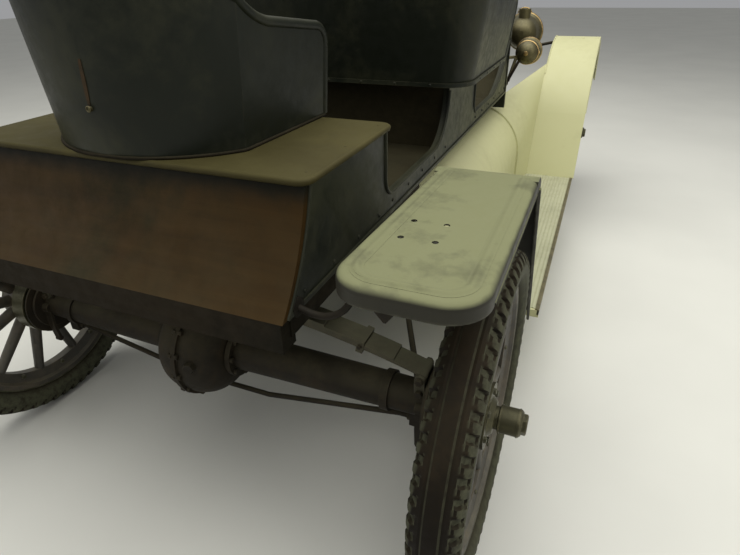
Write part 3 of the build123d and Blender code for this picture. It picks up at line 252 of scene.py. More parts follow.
finishes = {
    "tyre": agedFinish("tyreRubber", {
        "base": (0.0075, 0.0055, 0.0035), "stain": (0.022, 0.015, 0.008), "stainScale": 6.0,
        "stainAmount": 0.8, "roughness": 0.66, "dust": (0.060, 0.052, 0.030), "dustAmount": 0.3,
        "specular": 0.10, "flank": (0.066, 0.068, 0.042),
        "bump": 0.35, "bumpDepth": 0.0010}),
    "wheelWood": agedFinish("wheelWood", {
        "base": (0.030, 0.027, 0.020), "stain": (0.085, 0.066, 0.040), "stainScale": 7.0,
        "stainAmount": 0.7, "roughness": 0.48, "edge": (0.16, 0.12, 0.07), "edgeAmount": 0.5,
        "dust": (0.24, 0.22, 0.15), "dustAmount": 0.45, "bump": 0.2}),
    "hubBrass": agedFinish("tarnishedHub", {
        "base": (0.070, 0.066, 0.034), "stain": (0.030, 0.028, 0.016), "stainScale": 16.0,
        "stainAmount": 0.75, "roughness": 0.42, "metallic": 0.7, "edge": (0.20, 0.18, 0.10),
        "edgeAmount": 0.6, "dust": (0.085, 0.080, 0.046), "dustAmount": 0.4, "bump": 0.2}),
    "runningGear": agedFinish("greasyIron", {
        "base": (0.016, 0.013, 0.0085), "stain": (0.038, 0.028, 0.015), "stainScale": 8.0,
        "stainAmount": 0.8, "roughness": 0.60, "edge": (0.085, 0.070, 0.045), "edgeAmount": 0.35,
        "dust": (0.105, 0.094, 0.056), "dustAmount": 0.6, "bump": 0.45, "bumpDepth": 0.0016,
        "specular": 0.14}),
    "darkIron": agedFinish("darkIron", {
        "base": (0.012, 0.010, 0.007), "stain": (0.026, 0.020, 0.012), "stainScale": 9.0,
        "roughness": 0.6, "dust": (0.045, 0.040, 0.026), "dustAmount": 0.4, "bump": 0.3, "specular": 0.12}),
    "springSteel": agedFinish("dustySprings", {
        "base": (0.058, 0.054, 0.035), "stain": (0.098, 0.088, 0.055), "stainScale": 7.0,
        "stainAmount": 0.8, "roughness": 0.62, "edge": (0.12, 0.11, 0.075), "edgeAmount": 0.4,
        "dust": (0.16, 0.155, 0.095), "dustAmount": 0.75, "bump": 0.45, "bumpDepth": 0.0016,
        "specular": 0.18}),
    "engineIron": agedFinish("engineIron", {
        "base": (0.070, 0.068, 0.062), "stain": (0.110, 0.085, 0.055), "stainScale": 6.0,
        "roughness": 0.65, "dust": (0.22, 0.20, 0.15), "dustAmount": 0.4, "bump": 0.5,
        "bumpDepth": 0.0016}),
    "bodyPaint": agedFinish("bodyPaint", {
        "base": (0.0085, 0.0105, 0.0066), "stain": (0.027, 0.028, 0.015), "stainScale": 4.2,
        "stainLow": 0.44, "stainHigh": 0.66, "stainAmount": 0.85, "roughness": 0.42,
        "edge": (0.045, 0.042, 0.024), "edgeAmount": 0.4, "dust": (0.045, 0.045, 0.024),
        "dustAmount": 0.6, "bump": 0.10, "specular": 0.20}),
    # real dust on what faces up; the dark primer left on the lip, the slopes and the undersides is partly
    # painted shade, set by the facing limits
    "fenderPaint": agedFinish("fenderPrimerAndShade", {
        "base": (0.019, 0.018, 0.012), "stain": (0.032, 0.030, 0.020), "stainScale": 2.6,
        "stainAmount": 0.7, "roughness": 0.52, "edge": (0.12, 0.12, 0.08), "edgeAmount": 0.5,
        "dust": (0.178, 0.185, 0.096), "dustAmount": 1.8, "dustScale": 5.0, "dustLow": 0.34,
        "dustHigh": 1.02, "bump": 0.08, "specular": 0.25}),
    "creamPaint": agedFinish("creamPaint", {
        "base": (0.49, 0.485, 0.255), "stain": (0.36, 0.35, 0.180), "stainScale": 2.4,
        "stainLow": 0.48, "stainAmount": 0.6, "roughness": 0.45, "edge": (0.22, 0.20, 0.12),
        "edgeAmount": 0.4, "dust": (0.55, 0.545, 0.315), "dustAmount": 0.5, "bump": 0.08}),
    "brass": agedFinish("agedBrass", {
        "base": (0.42, 0.29, 0.115), "stain": (0.19, 0.125, 0.058), "stainScale": 9.0,
        "stainAmount": 0.7, "roughness": 0.30, "metallic": 0.95, "edge": (0.80, 0.58, 0.28),
        "edgeAmount": 0.6, "dust": (0.30, 0.26, 0.17), "dustAmount": 0.35, "bump": 0.08}),
    "radiatorCore": agedFinish("radiatorCore", {
        "base": (0.028, 0.027, 0.024), "stain": (0.075, 0.055, 0.035), "stainScale": 20.0,
        "roughness": 0.6, "metallic": 0.4, "bump": 0.3}),
    "bodyWood": agedFinish("frameWood", {
        "base": (0.034, 0.029, 0.014), "stain": (0.018, 0.015, 0.008), "stainScale": 3.0,
        "roughness": 0.70, "specular": 0.12, "stretch": (46.0, 2.2, 46.0), "grainDark": (0.42, 0.38, 0.32),
        "grainLight": (1.0, 1.0, 1.0), "dust": (0.036, 0.033, 0.017), "dustAmount": 0.6, "bump": 0.4}),
    "backWood": agedFinish("backPanel", {
        "base": (0.039, 0.0215, 0.0056), "stain": (0.013, 0.0125, 0.0052), "stainScale": 2.2,
        "stainLow": 0.44, "stainHigh": 0.66, "stainAmount": 0.9, "roughness": 0.46, "specular": 0.08,
        # painted shade: the panel's top few centimetres go nearly black, the shadow of the deck's lip over it
        "band": (0.905, 0.955), "bandColour": (0.008, 0.008, 0.005),
        "stretch": (2.0, 30.0, 34.0), "grainDark": (0.50, 0.45, 0.38), "grainLight": (1.15, 1.1, 1.0),
        "dust": (0.10, 0.09, 0.05), "dustAmount": 0.25, "bump": 0.12}),
    "sillWood": agedFinish("dirtySills", {
        "base": (0.017, 0.013, 0.0068), "stain": (0.0075, 0.0070, 0.0042), "stainScale": 3.4,
        "roughness": 0.66, "specular": 0.08, "stretch": (3.0, 24.0, 24.0), "grainDark": (0.45, 0.40, 0.34),
        "grainLight": (1.1, 1.05, 1.0), "dust": (0.05, 0.045, 0.026), "dustAmount": 0.5, "bump": 0.35}),
    "deckPaint": agedFinish("dustyDeck", {
        "base": (0.041, 0.034, 0.0095), "stain": (0.076, 0.064, 0.020), "stainScale": 2.4,
        "stainAmount": 0.85, "roughness": 0.60, "specular": 0.15, "stretch": (3.0, 16.0, 16.0),
        "grainDark": (0.72, 0.70, 0.66), "grainLight": (1.0, 1.0, 1.0), "grainAmount": 0.6,
        "edge": (0.020, 0.018, 0.012), "edgeAmount": 0.7, "dust": (0.078, 0.069, 0.024),
        "dustAmount": 0.6, "dustScale": 4.0, "bump": 0.15}),
    "leather": agedFinish("blackLeather", {
        "base": (0.026, 0.021, 0.016), "stain": (0.075, 0.050, 0.030), "stainScale": 5.0,
        "stainLow": 0.50, "stainAmount": 0.6, "roughness": 0.42, "dust": (0.14, 0.12, 0.08),
        "dustAmount": 0.35, "bump": 0.35, "bumpDepth": 0.0012}),
    "rimWood": agedFinish("steeringRim", {
        "base": (0.10, 0.045, 0.018), "stain": (0.045, 0.022, 0.010), "stainScale": 9.0,
        "roughness": 0.30, "stretch": (12.0, 12.0, 12.0), "grainDark": (0.5, 0.45, 0.4),
        "grainLight": (1.0, 1.0, 1.0), "bump": 0.1, "coat": 0.4}),
    "hubIron": agedFinish("wornHubIron", {
        "base": (0.050, 0.050, 0.026), "stain": (0.026, 0.024, 0.015), "stainScale": 14.0,
        "stainAmount": 0.7, "roughness": 0.50, "metallic": 0.4, "specular": 0.3, "edge": (0.20, 0.19, 0.13),
        "edgeAmount": 0.6, "dust": (0.13, 0.125, 0.085), "dustAmount": 0.35, "bump": 0.25}),
    "rust": agedFinish("rustStreak", {
        "base": (0.050, 0.032, 0.017), "stain": (0.024, 0.021, 0.013), "stainScale": 40.0,
        "stainAmount": 0.9, "roughness": 0.7, "specular": 0.1, "dustAmount": 0.1, "bump": 0.4}),
    "boardMat": agedFinish("ribbedMat", {
        "base": (0.36, 0.365, 0.235), "stain": (0.25, 0.25, 0.155), "stainScale": 5.0,
        "stainAmount": 0.7, "roughness": 0.62, "dust": (0.44, 0.44, 0.29), "dustAmount": 0.6,
        "dustScale": 7.0, "bump": 0.15}),
    "dullBrass": agedFinish("dullBrass", {
        "base": (0.108, 0.094, 0.044), "stain": (0.052, 0.047, 0.025), "stainScale": 10.0,
        "stainAmount": 0.8, "roughness": 0.44, "metallic": 0.85, "edge": (0.42, 0.36, 0.20),
        "edgeAmount": 0.5, "dust": (0.28, 0.26, 0.18), "dustAmount": 0.4, "bump": 0.12}),
    "glass": lampGlass("lampGlass"),
}
slotFinish = {"tyre": "tyre", "wheel_wood": "wheelWood", "hub_brass": "hubBrass",
              "running_gear": "runningGear", "engine_iron": "engineIron", "body_paint": "bodyPaint",
              "dusty_green": "fenderPaint", "cream_paint": "creamPaint", "hood_paint": "bodyPaint",
              "brass": "dullBrass", "radiator_core": "radiatorCore", "body_wood": "bodyWood",
              "back_wood": "backWood", "deck_paint": "deckPaint", "leather": "leather",
              "wheel_rim": "rimWood"}


def dress(piece, finish):
    piece.data.materials.clear()
    piece.data.materials.append(finishes[finish])


for entry in frame["record"]["subparts"]:
    dress(frame["nodes"][entry["node"]], slotFinish[entry["material_slot"]])
for name, finish in {"body_sills": "sillWood", "rear_spring": "springSteel",
                     "front_spring": "springSteel"}.items():
    dress(frame["nodes"][name], finish)
print("finishes on", len(frame["nodes"]), "nodes")


rearY, wheelbase = -1.315, 2.540    # the rear axle's place along the car, and the way to the front one
frontY = rearY + wheelbase
halfTrack, axleHeight = 0.711, 0.381
carBody, sides = "car", (-1, 1)
xAxis, yAxis, zAxis = np.eye(3)


def at(y):
    # the place along the car of what lies so many millimetres ahead of the rear axle
    return rearY + y * mm


def placed(x, y, z):
    # places from three coordinates, each one number or an array of them
    return np.stack(np.broadcast_arrays(x, y, z), axis=-1)


def evenTurns(count, start=0.0):
    return start + np.arange(count) * 2 * np.pi / count


# Shapes are pairs: an array of points, and an array of the quads between them.

def gridQuads(rows, columns, closeRows=False, closeColumns=False):
    # every cell of a grid of points becomes a quad; a closed direction wraps round
    row, column = np.meshgrid(np.arange(rows if closeRows else rows - 1),
                              np.arange(columns if closeColumns else columns - 1), indexing="ij")
    nextRow, nextColumn = (row + 1) % rows, (column + 1) % columns
    corners = (row * columns + column, nextRow * columns + column,
               nextRow * columns + nextColumn, row * columns + nextColumn)
    return np.stack(corners, axis=-1).reshape(-1, 4)


def unit(vectors):
    vectors = np.asarray(vectors, float)
    return vectors / np.linalg.norm(vectors, axis=-1, keepdims=True)


def crossAxes(directions):
    # two unit vectors at right angles to each direction, the first one level where it can be
    directions = unit(directions)
    helper = np.where(np.abs(directions[..., 2:3]) > 0.9, (1.0, 0.0, 0.0), (0.0, 0.0, 1.0))
    first = unit(np.cross(helper, directions))
    return first, np.cross(directions, first)


def turned(profile, place, axis, steps=40):
    # surface of revolution: each profile point (along, radius) goes round the axis through place
    profile, place, axis = np.asarray(profile, float), np.asarray(place, float), unit(axis)
    first, second = crossAxes(axis)
    angle = evenTurns(steps)
    ring = np.cos(angle)[:, None] * first + np.sin(angle)[:, None] * second
    points = place + profile[:, None, :1] * axis + profile[:, None, 1:] * ring
    return points.reshape(-1, 3), gridQuads(len(profile), steps, closeColumns=True)


def collar(place, axis, low, high, inner, outer, steps=40):
    # a ring, or a disc where inner is 0, between two places along its axis
    return turned(((low, inner), (low, outer), (high, outer), (high, inner)), place, axis, steps)


def carried(section, path, up=zAxis, closed=False, scale=None):
    # sweep: the closed section (across, upwards) is set square to the path at each of its points
    section, path = np.asarray(section, float), np.asarray(path, float)
    if closed:
        tangent = np.roll(path, -1, axis=0) - np.roll(path, 1, axis=0)
    else:
        tangent = np.gradient(path, axis=0)
    across = unit(np.cross(unit(tangent), np.broadcast_to(up, path.shape)))
    upwards = np.cross(across, unit(tangent))
    size = np.ones(len(path)) if scale is None else np.asarray(scale, float)
    points = path[:, None] + size[:, None, None] * (section[None, :, :1] * across[:, None]
                                                    + section[None, :, 1:] * upwards[:, None])
    if not closed:
        middle = section.mean(axis=0)
        ends = [np.broadcast_to(path[k] + middle[0] * across[k] + middle[1] * upwards[k],
                                (1, len(section), 3)) for k in (0, -1)]
        points = np.concatenate((ends[0], points, ends[1]))
    return points.reshape(-1, 3), gridQuads(len(points), len(section), closeRows=closed, closeColumns=True)


def spaced(path, step):
    # the same path with points at an even distance
    path = np.asarray(path, float)
    length = np.concatenate(([0], np.cumsum(np.linalg.norm(np.diff(path, axis=0), axis=1))))
    marks = np.linspace(0, length[-1], max(2, int(round(length[-1] / step)) + 1))
    return np.stack([np.interp(marks, length, path[:, k]) for k in range(path.shape[1])], axis=-1)


def tube(path, radius, up=zAxis, facets=10, closed=False):
    angle = evenTurns(facets)
    return carried(radius * np.stack((np.cos(angle), np.sin(angle)), axis=-1), path, up, closed)


def rod(path, radius, step, up=zAxis, facets=10):
    return tube(spaced(path, step), radius, up, facets)


def boxSection(width, height):
    return np.array(((-1, -1), (1, -1), (1, 1), (-1, 1))) * (width / 2, height / 2)


def strip(path, width, height, step, up=zAxis):
    return carried(boxSection(width, height), spaced(path, step), up)


def heads(places, directions, radius, height, facets=6, dome=False):
    # one small head at each place: a hexagon, or a dome whose radius falls as the root of 1 - t squared
    if dome:
        t = np.linspace(0, 1, 5)
        profile = np.stack((height * t, radius * np.sqrt(1 - t ** 2)), axis=-1)
        profile = np.concatenate(([(-0.3 * height, 0), (-0.3 * height, radius)], profile))
    else:
        profile = np.array(((-0.3 * height, 0), (-0.3 * height, radius), (0.82 * height, radius),
                            (height, 0.86 * radius), (height, 0)))
    places = np.atleast_2d(np.asarray(places, float))
    directions = unit(np.broadcast_to(np.asarray(directions, float), places.shape))
    first, second = crossAxes(directions)
    angle = evenTurns(facets)
    ring = np.cos(angle)[:, None] * first[:, None] + np.sin(angle)[:, None] * second[:, None]
    points = (places[:, None, None] + profile[None, :, None, :1] * directions[:, None, None]
              + profile[None, :, None, 1:] * ring[:, None])
    quads = gridQuads(len(profile), facets, closeColumns=True)
    offsets = np.arange(len(places))[:, None, None] * (len(profile) * facets)
    return points.reshape(-1, 3), (quads[None] + offsets).reshape(-1, 4)


def domes(places, directions, radius, height, facets=8):
    return heads(places, directions, radius, height, facets, True)


def arcThrough(start, middle, end, count=16):
    # points of the circle through three points of a plane
    (ax, ay), (bx, by), (cx, cy) = start, middle, end
    a, b, c = ax * ax + ay * ay, bx * bx + by * by, cx * cx + cy * cy
    d = 2 * (ax * (by - cy) + bx * (cy - ay) + cx * (ay - by))
    ux = (a * (by - cy) + b * (cy - ay) + c * (ay - by)) / d
    uy = (a * (cx - bx) + b * (ax - cx) + c * (bx - ax)) / d
    first, halfway, last = (math.atan2(y - uy, x - ux) for x, y in (start, middle, end))
    turn = (last - first) % (2 * math.pi)
    if (halfway - first) % (2 * math.pi) > turn:
        turn -= 2 * math.pi
    angle = first + turn * np.linspace(0, 1, count)
    radius = math.hypot(ax - ux, ay - uy)
    return np.stack((ux + radius * np.cos(angle), uy + radius * np.sin(angle)), axis=-1)


def joined(*stretches):
    # an outline from single points and rows of points
    return np.concatenate([np.atleast_2d(stretch) for stretch in stretches])


def sideLine(x, outline):
    # an outline in millimetres, ahead of the rear axle and above the floor, stood up on the plane at x
    return placed(x, at(outline[:, 0]), outline[:, 1] * mm)


def overBoth(half, step):
    # a line on the right side, led on through its mirror image on the left
    return spaced(np.concatenate((half, half[::-1] * (-1, 1, 1))), step)


def mirrored(shape):
    points, quads = shape
    return points * (-1, 1, 1), quads[:, ::-1]


def both(shapes):
    return list(shapes) + [mirrored(shape) for shape in shapes]


def makePiece(name, shapes, finish, body=carBody, replaces=(), sharp=38):
    counts = np.cumsum([0] + [len(points) for points, quads in shapes])
    points = np.concatenate([shape[0] for shape in shapes])
    quads = np.concatenate([shape[1] + count for shape, count in zip(shapes, counts)])
    mesh = bpy.data.meshes.new(name)
    mesh.from_pydata(points.tolist(), [], quads.tolist())
    tidy = bmesh.new()
    tidy.from_mesh(mesh)
    bmesh.ops.remove_doubles(tidy, verts=tidy.verts, dist=2e-6)
    bmesh.ops.recalc_face_normals(tidy, faces=tidy.faces)
    tidy.to_mesh(mesh)
    tidy.free()
    mesh.polygons.foreach_set("use_smooth", np.ones(len(mesh.polygons), bool))
    mesh.set_sharp_from_angle(angle=math.radians(sharp))
    piece = bpy.data.objects.new(name, mesh)
    bpy.context.scene.collection.objects.link(piece)
    mesh.materials.append(finishes[finish])
    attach(piece, body)
    if replaces:
        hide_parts(*replaces)
    return piece


wheels = (  # corner, side, axle's place along the car, tyre width
    ("rear_left", -1, rearY, 0.098), ("rear_right", 1, rearY, 0.098),
    ("front_left", -1, frontY, 0.080), ("front_right", 1, frontY, 0.080))

# the section's angles are in degrees from the crown
tyreLook = {"lugs": 64, "lugHeight": 0.0022, "lugGroove": 0.0048, "ribGroove": 0.0026, "samples": 12,
            "sectionSteps": 60, "sectionEnd": 150, "crown": 0.381, "middle": 0.3395, "bead": 0.296,
            "lugsFrom": 36, "lugsTo": 80, "ribPitch": 12, "ribsTo": 40, "zigzag": 37,
            "sideRings": ((0.0012, 108, 3.0), (0.0010, 122, 2.0))}


def makeTyre(corner, side, y, width):
    # section: x = half width times sin(p) to the power 0.86, radius = middle + height times cos(p);
    # ribs are grooves in p near the crown, lugs are a softened square wave of the turn at the shoulders
    look = tyreLook
    p = np.radians(np.linspace(-look["sectionEnd"], look["sectionEnd"], look["sectionSteps"]))
    turn = np.linspace(0, 2 * np.pi, look["lugs"] * look["samples"], endpoint=False)
    spread, lugTurn = np.degrees(np.abs(p)), look["lugs"] * turn[:, None]
    wave = np.sin(lugTurn + np.where(p > 0, 0.0, np.pi)[None] + 0.02 * spread[None])
    block = np.clip(0.5 + 2.2 * (wave + 0.25), 0, 1)
    shoulder = (np.clip((spread - look["lugsFrom"]) / 4, 0, 1) * np.clip((look["lugsTo"] - spread) / 5, 0, 1))
    fromRib = np.abs((spread % look["ribPitch"]) - look["ribPitch"] / 2)
    ribs = np.clip(1 - fromRib / 1.6, 0, 1) * (spread < look["ribsTo"])
    zigzag = np.clip(1 - np.abs(spread - look["zigzag"] - 1.5 * np.sin(lugTurn)) / 2.2, 0, 1)
    height = (shoulder[None] * (block * look["lugHeight"] - (1 - block) * look["lugGroove"])
              - ribs[None] * look["ribGroove"] - zigzag * look["ribGroove"])
    height = height + sum(high * np.exp(-((spread - middle) / wide) ** 2)
                          for high, middle, wide in look["sideRings"])[None]
    across = width / 2 * np.sign(p) * np.abs(np.sin(p)) ** 0.86
    radius = look["middle"] + (look["crown"] - look["middle"]) * np.cos(p)
    across = across[None] + height * np.sin(p)[None]
    radius = radius[None] + height * np.cos(p)[None]
    inner = np.array((0.25 * width, -0.25 * width))
    across = np.concatenate((across, np.broadcast_to(inner, (len(turn), 2))), axis=1)
    radius = np.concatenate((radius, np.full((len(turn), 2), look["bead"])), axis=1)
    points = placed(side * halfTrack + across, y + radius * np.sin(turn)[:, None],
                    axleHeight + radius * np.cos(turn)[:, None])
    shape = points.reshape(-1, 3), gridQuads(len(turn), across.shape[1], True, True)
    makePiece("treadTyre_" + corner, [shape], "tyre", corner + "_wheel", ["tyre_" + corner], 32)


wheelFittings = {"felloeBolts": 12, "felloeRadius": 0.262, "felloeFace": 0.0175, "flangeBolts": 6,
                 "flangeRadius": 0.061, "flangeFace": 0.029, "wireRadius": 0.3025, "valveTurn": 0.14,
                 "valve": ((0.256, 0.226, 0.01, 0.0045), (0.236, 0.222, 0.007, 0.0068)),
                 "capRear": 0.095, "capFront": 0.070}


def makeWheelFittings(corner, side, y, width):
    look, outward, centre = wheelFittings, (side, 0, 0), (side * halfTrack, y, axleHeight)

    def onWheel(out, radius, angle):
        # a place on the wheel: out from its middle plane, at a radius and an angle about the axle
        return placed(side * (halfTrack + out), y + radius * np.sin(angle),
                      axleHeight + radius * np.cos(angle))

    felloe, flange = evenTurns(look["felloeBolts"]), evenTurns(look["flangeBolts"], 0.26)
    shapes = [domes(onWheel(look["felloeFace"], look["felloeRadius"], felloe), outward, 0.006, 0.004, 10),
              heads(onWheel(-look["felloeFace"], look["felloeRadius"], felloe), (-side, 0, 0), 0.008, 0.006),
              heads(onWheel(look["flangeFace"], look["flangeRadius"], flange), outward, 0.0075, 0.006)]
    bead = width * 0.28 + 0.0022
    shapes += [tube(onWheel(out, look["wireRadius"], evenTurns(96)), 0.0030, xAxis, 8, True)
               for out in (bead, -bead)]
    for high, low, step, thick in look["valve"]:
        shapes.append(rod(onWheel(0, np.array((high, low)), look["valveTurn"]), thick, step, xAxis))
    makePiece("wheelBolts_" + corner, shapes, "hubIron", corner + "_wheel")
    end = look["capRear"] if corner.startswith("rear") else look["capFront"]
    nut = turned(((end + 0.004, 0), (end + 0.004, 0.024), (end + 0.0135, 0.024), (end + 0.0155, 0.020),
                  (end + 0.0155, 0)), centre, outward, 6)
    rings = [turned(((out - 0.002, 0.026), (out - 0.001, 0.0325), (out + 0.002, 0.0325),
                     (out + 0.003, 0.026)), centre, outward) for out in (0.052, end - 0.004)]
    makePiece("hubCap_" + corner, [nut] + rings, "hubBrass", corner + "_wheel")


for wheel in wheels:
    makeTyre(*wheel)
    makeWheelFittings(*wheel)
print("tyres and wheel fittings")

rearAxleLook = {"casing": -0.027, "ringRadius": 0.137, "ringBolts": 14, "flangeOut": 0.108,
                "flangeRadius": 0.059, "flangeBolts": 8, "neckAt": 156, "neckHeight": 0.389,
                "neckRadius": 0.056, "neckBolts": 6, "collarOut": 0.50, "sealOut": 0.603, "leverOut": 0.590}


def makeAxleFittings():
    look = rearAxleLook
    centre = np.array((look["casing"], rearY, axleHeight))

    def boltRing(count, radius, start):
        angle = evenTurns(count, start)
        return radius * placed(0, np.sin(angle), np.cos(angle))

    ring = boltRing(look["ringBolts"], look["ringRadius"], 0.1)
    shapes = [heads(centre + ring + (side * 0.006, 0, 0), (side, 0, 0), 0.0075, 0.008) for side in sides]
    flange = boltRing(look["flangeBolts"], look["flangeRadius"], 0.2)
    for side in sides:  # flanges where the tubes are bolted to the casing, and rings further out on them
        outward, place = (side, 0, 0), centre + (side * look["flangeOut"], 0, 0)
        shapes += [collar(place, outward, -0.007, 0.007, 0.03, 0.068),
                   heads(place + flange + (side * 0.007, 0, 0), outward, 0.007, 0.007),
                   collar((side * look["collarOut"], rearY, axleHeight), xAxis, -0.01, 0.01, 0.03, 0.05, 32),
                   turned(((-0.004, 0.03), (-0.004, 0.076), (0.0, 0.078), (0.004, 0.076), (0.004, 0.03)),
                          (side * look["sealOut"], rearY, axleHeight), xAxis)]
    # oil plugs on the casing's back and under it, and the neck's bolts
    neck = evenTurns(look["neckBolts"], 0.5)
    neck = placed(look["neckRadius"] * np.sin(neck), at(look["neckAt"]),
                  look["neckHeight"] + look["neckRadius"] * np.cos(neck))
    shapes += [heads((look["casing"] + 0.04, rearY - 0.118, 0.40), (0.25, -1, 0.1), 0.016, 0.022),
               heads((look["casing"], rearY, 0.250), -zAxis, 0.014, 0.010),
               heads(neck, -yAxis, 0.006, 0.006)]
    # nuts at the truss rod's ends, and forks of the brace rods
    shapes += both([heads((0.580, at(20), 0.294), xAxis, 0.012, 0.012),
                    heads((0.550, at(20), 0.294), -xAxis, 0.012, 0.010),
                    heads((0.565, at(2), 0.352), -yAxis, 0.013, 0.012)])
    # brake levers behind the drums, with the pins that carry them and their rods
    out = look["leverOut"]
    lever = ((out, at(-40), 0.385), (out, at(-46), 0.33), (out, at(-40), 0.270))
    shapes += both([strip(lever, 0.008, 0.022, 0.02, xAxis),
                    collar((out, at(-40), 0.385), xAxis, -0.012, 0.014, 0, 0.014, 20),
                    collar((out, at(-40), 0.272), xAxis, -0.008, 0.008, 0, 0.008, 12)])
    makePiece("axleFittings", shapes, "runningGear")


springs = (  # place along the car, crown of the main leaf, its radius, leaves, its eyes, its clips
    (rearY, 0.556, 1.983, 6, 0.584, 0.440), (frontY, 0.590, 1.315, 5, 0.530, 0.360))
springLook = {"leaf": 0.006, "clampOut": 0.095, "boltOut": 0.0345, "shackle": 0.034, "pinOut": 0.0365}


def makeSpringFittings():
    look, shapes = springLook, []
    for y, crown, radius, leaves, eye, clip in springs:
        def leafHeight(x):
            return crown - radius + math.sqrt(radius ** 2 - x ** 2)

        top, side = crown + look["leaf"] * leaves, look["boltOut"]
        for x in (-look["clampOut"], look["clampOut"]):  # U-bolts around the leaves, with their nuts
            foot = leafHeight(x) - 0.030
            loop = ((-side, foot), (-side, top + 0.004), (-0.030, top + 0.0085), (0.030, top + 0.0085),
                    (side, top + 0.004), (side, foot))
            shapes.append(rod([(x, y + along, z) for along, z in loop], 0.0055, 0.006, xAxis, 8))
            shapes.append(heads([(x, y - side, foot + 0.010), (x, y + side, foot + 0.010)], -zAxis,
                                0.0095, 0.009))
        plate = leafHeight(0) - 0.012
        shapes += [strip(((-0.115, y, plate), (0.115, y, plate)), 0.084, 0.010, 0.05),
                   heads((0, y, plate - 0.005), -zAxis, 0.011, 0.010)]
        pin = leafHeight(eye) - 0.008
        for z in (pin, pin - look["shackle"]):  # shackle pins' nuts, behind and ahead
            for x in (-eye, eye):
                shapes += [heads((x, y + way * look["pinOut"], z), way * yAxis, 0.010, 0.009)
                           for way in (-1, 1)]
        shapes += [heads((x, y - 0.0325, leafHeight(x) + 0.008), -yAxis, 0.006, 0.006)
                   for x in (-clip, clip)]
    makePiece("springFittings", shapes, "runningGear")


makeAxleFittings()
makeSpringFittings()
print("axle and spring fittings")

# The tubs' places along the car, and the rear one's round back, are in millimetres; the rest is in metres.
rearTub = {"half": 0.234, "flare": 0.034, "bend": -71, "round": 120, "front": 240, "base": 0.953,
           "top": 1.385, "bead": 0.0105, "facets": 14, "wall": 0.012, "studX": 0.005, "studZ": 1.048,
           "rustHigh": 0.080}
frontTub = {"half": 0.488, "flare": 0.070, "bend": 0.084, "rear": 650, "front": 1232, "base": 0.953,
            "top": 1.385, "bead": 0.0085, "facets": 10, "wall": 0.012, "screwStep": 0.11}
rimInset, footHeight = 6.1, 0.9585  # the first in millimetres


def rearTubBend(z, inset):
    # half width, depth and radius of the rear tub's round back at a height, less the inset
    grow = rearTub["flare"] * (z - rearTub["base"]) / (rearTub["top"] - rearTub["base"])
    half, depth = rearTub["half"] + grow - inset, rearTub["round"] * mm + grow - inset
    return half, depth, (half ** 2 + depth ** 2) / (2 * depth)


def rearTubSide(y, z, inset):
    # half width of the rear tub at a place (y in mm) and height, less the inset
    half, depth, radius = rearTubBend(z, inset)
    straight = half + 0.012 * (y - rearTub["bend"]) / (rearTub["front"] - rearTub["bend"])
    centre = rearTub["bend"] * mm - depth + radius
    curved = np.sqrt(np.maximum(radius ** 2 - (y * mm - centre) ** 2, 0))
    return np.where(y > rearTub["bend"], straight, curved)


def frontTubSide(y, z, inset):
    # the same for the front tub, whose back corners are quarter circles
    grow = frontTub["flare"] * (z - frontTub["base"]) / (frontTub["top"] - frontTub["base"]) - inset
    half, rear, bend = frontTub["half"] + grow, frontTub["rear"] * mm - grow, frontTub["bend"]
    inside = np.maximum(rear + bend - y * mm, 0)
    return half - bend + np.sqrt(np.maximum(bend ** 2 - inside ** 2, 0))


def tubRim(arm, tub, sideWidth, backY):
    # the tub's upper edge: along the arm's profile, then round the back at its full height, both halves
    arm, inset = spaced(arm, 8), tub["wall"] / 2
    y, z = arm[:, 0], arm[:, 1] * mm
    arm = placed(sideWidth(y, z, inset), at(y), z)
    back = y[-1] + (backY - tub["flare"] / mm + rimInset - y[-1]) * np.sin(np.linspace(0, np.pi / 2, 24)[1:])
    back = placed(sideWidth(back, tub["top"], inset), at(back), tub["top"])
    return tube(overBoth(np.concatenate((arm, back)), 0.009), tub["bead"], facets=tub["facets"])


def tubFoot(tub, sideWidth, corner, reach, counts):
    # the line round a tub's foot: straight to the corner, then rearwards by a sine
    y = np.concatenate((np.linspace(tub["front"] - 4, corner, counts[0])[:-1],
                        corner - reach * np.sin(np.linspace(0, np.pi / 2, counts[1]))))
    return overBoth(placed(sideWidth(y, tub["base"], -0.002), at(y), footHeight), 0.012)


def makeRearTubTrim():
    look = rearTub
    arm = joined((241, 960), (240, 1106), arcThrough((240, 1106), (228, 1137), (196, 1150), 8),
                 (19, 1171), arcThrough((19, 1171), (-72, 1218), (-126, 1299), 14), (-134, 1384))
    rim = tubRim(arm, look, rearTubSide, look["bend"] - look["round"])
    foot = tubFoot(look, rearTubSide, look["bend"], look["round"] * 0.999, (8, 30))
    makePiece("rearTubTrim", [rim], "bodyPaint")
    makePiece("rearTubFoot", [tube(foot - (0, 0, 0.003), 0.0036)], "sillWood")
    # a small turn-stud on the back, and the rust that ran above it
    z = np.linspace(look["studZ"], look["studZ"] + look["rustHigh"], 12)
    x = look["studX"] + 0.16 * (z - look["studZ"])
    half, depth, radius = rearTubBend(z, 0)
    y = at(look["bend"]) - depth + radius - np.sqrt(radius ** 2 - x ** 2)
    run = placed(x, y - 0.0006, z)
    width = 0.35 + 0.65 * np.sin(np.pi * np.linspace(0.05, 0.95, 12)) ** 0.5
    makePiece("tubRust", [carried(boxSection(0.008, 0.0013), run, yAxis, scale=width)], "rust")
    stud, angle = run[0] - (0, 0, 0.004), evenTurns(20)
    ring = stud - (0, 0.004, 0) + 0.0050 * placed(np.cos(angle), 0, np.sin(angle))
    button = ((-0.002, 0), (-0.002, 0.0055), (0.002, 0.0050), (0.0035, 0.0030), (0.004, 0))
    makePiece("tubStud", [turned(button, stud, -yAxis, 20), tube(ring, 0.0011, yAxis, 8, True)],
              "dullBrass")


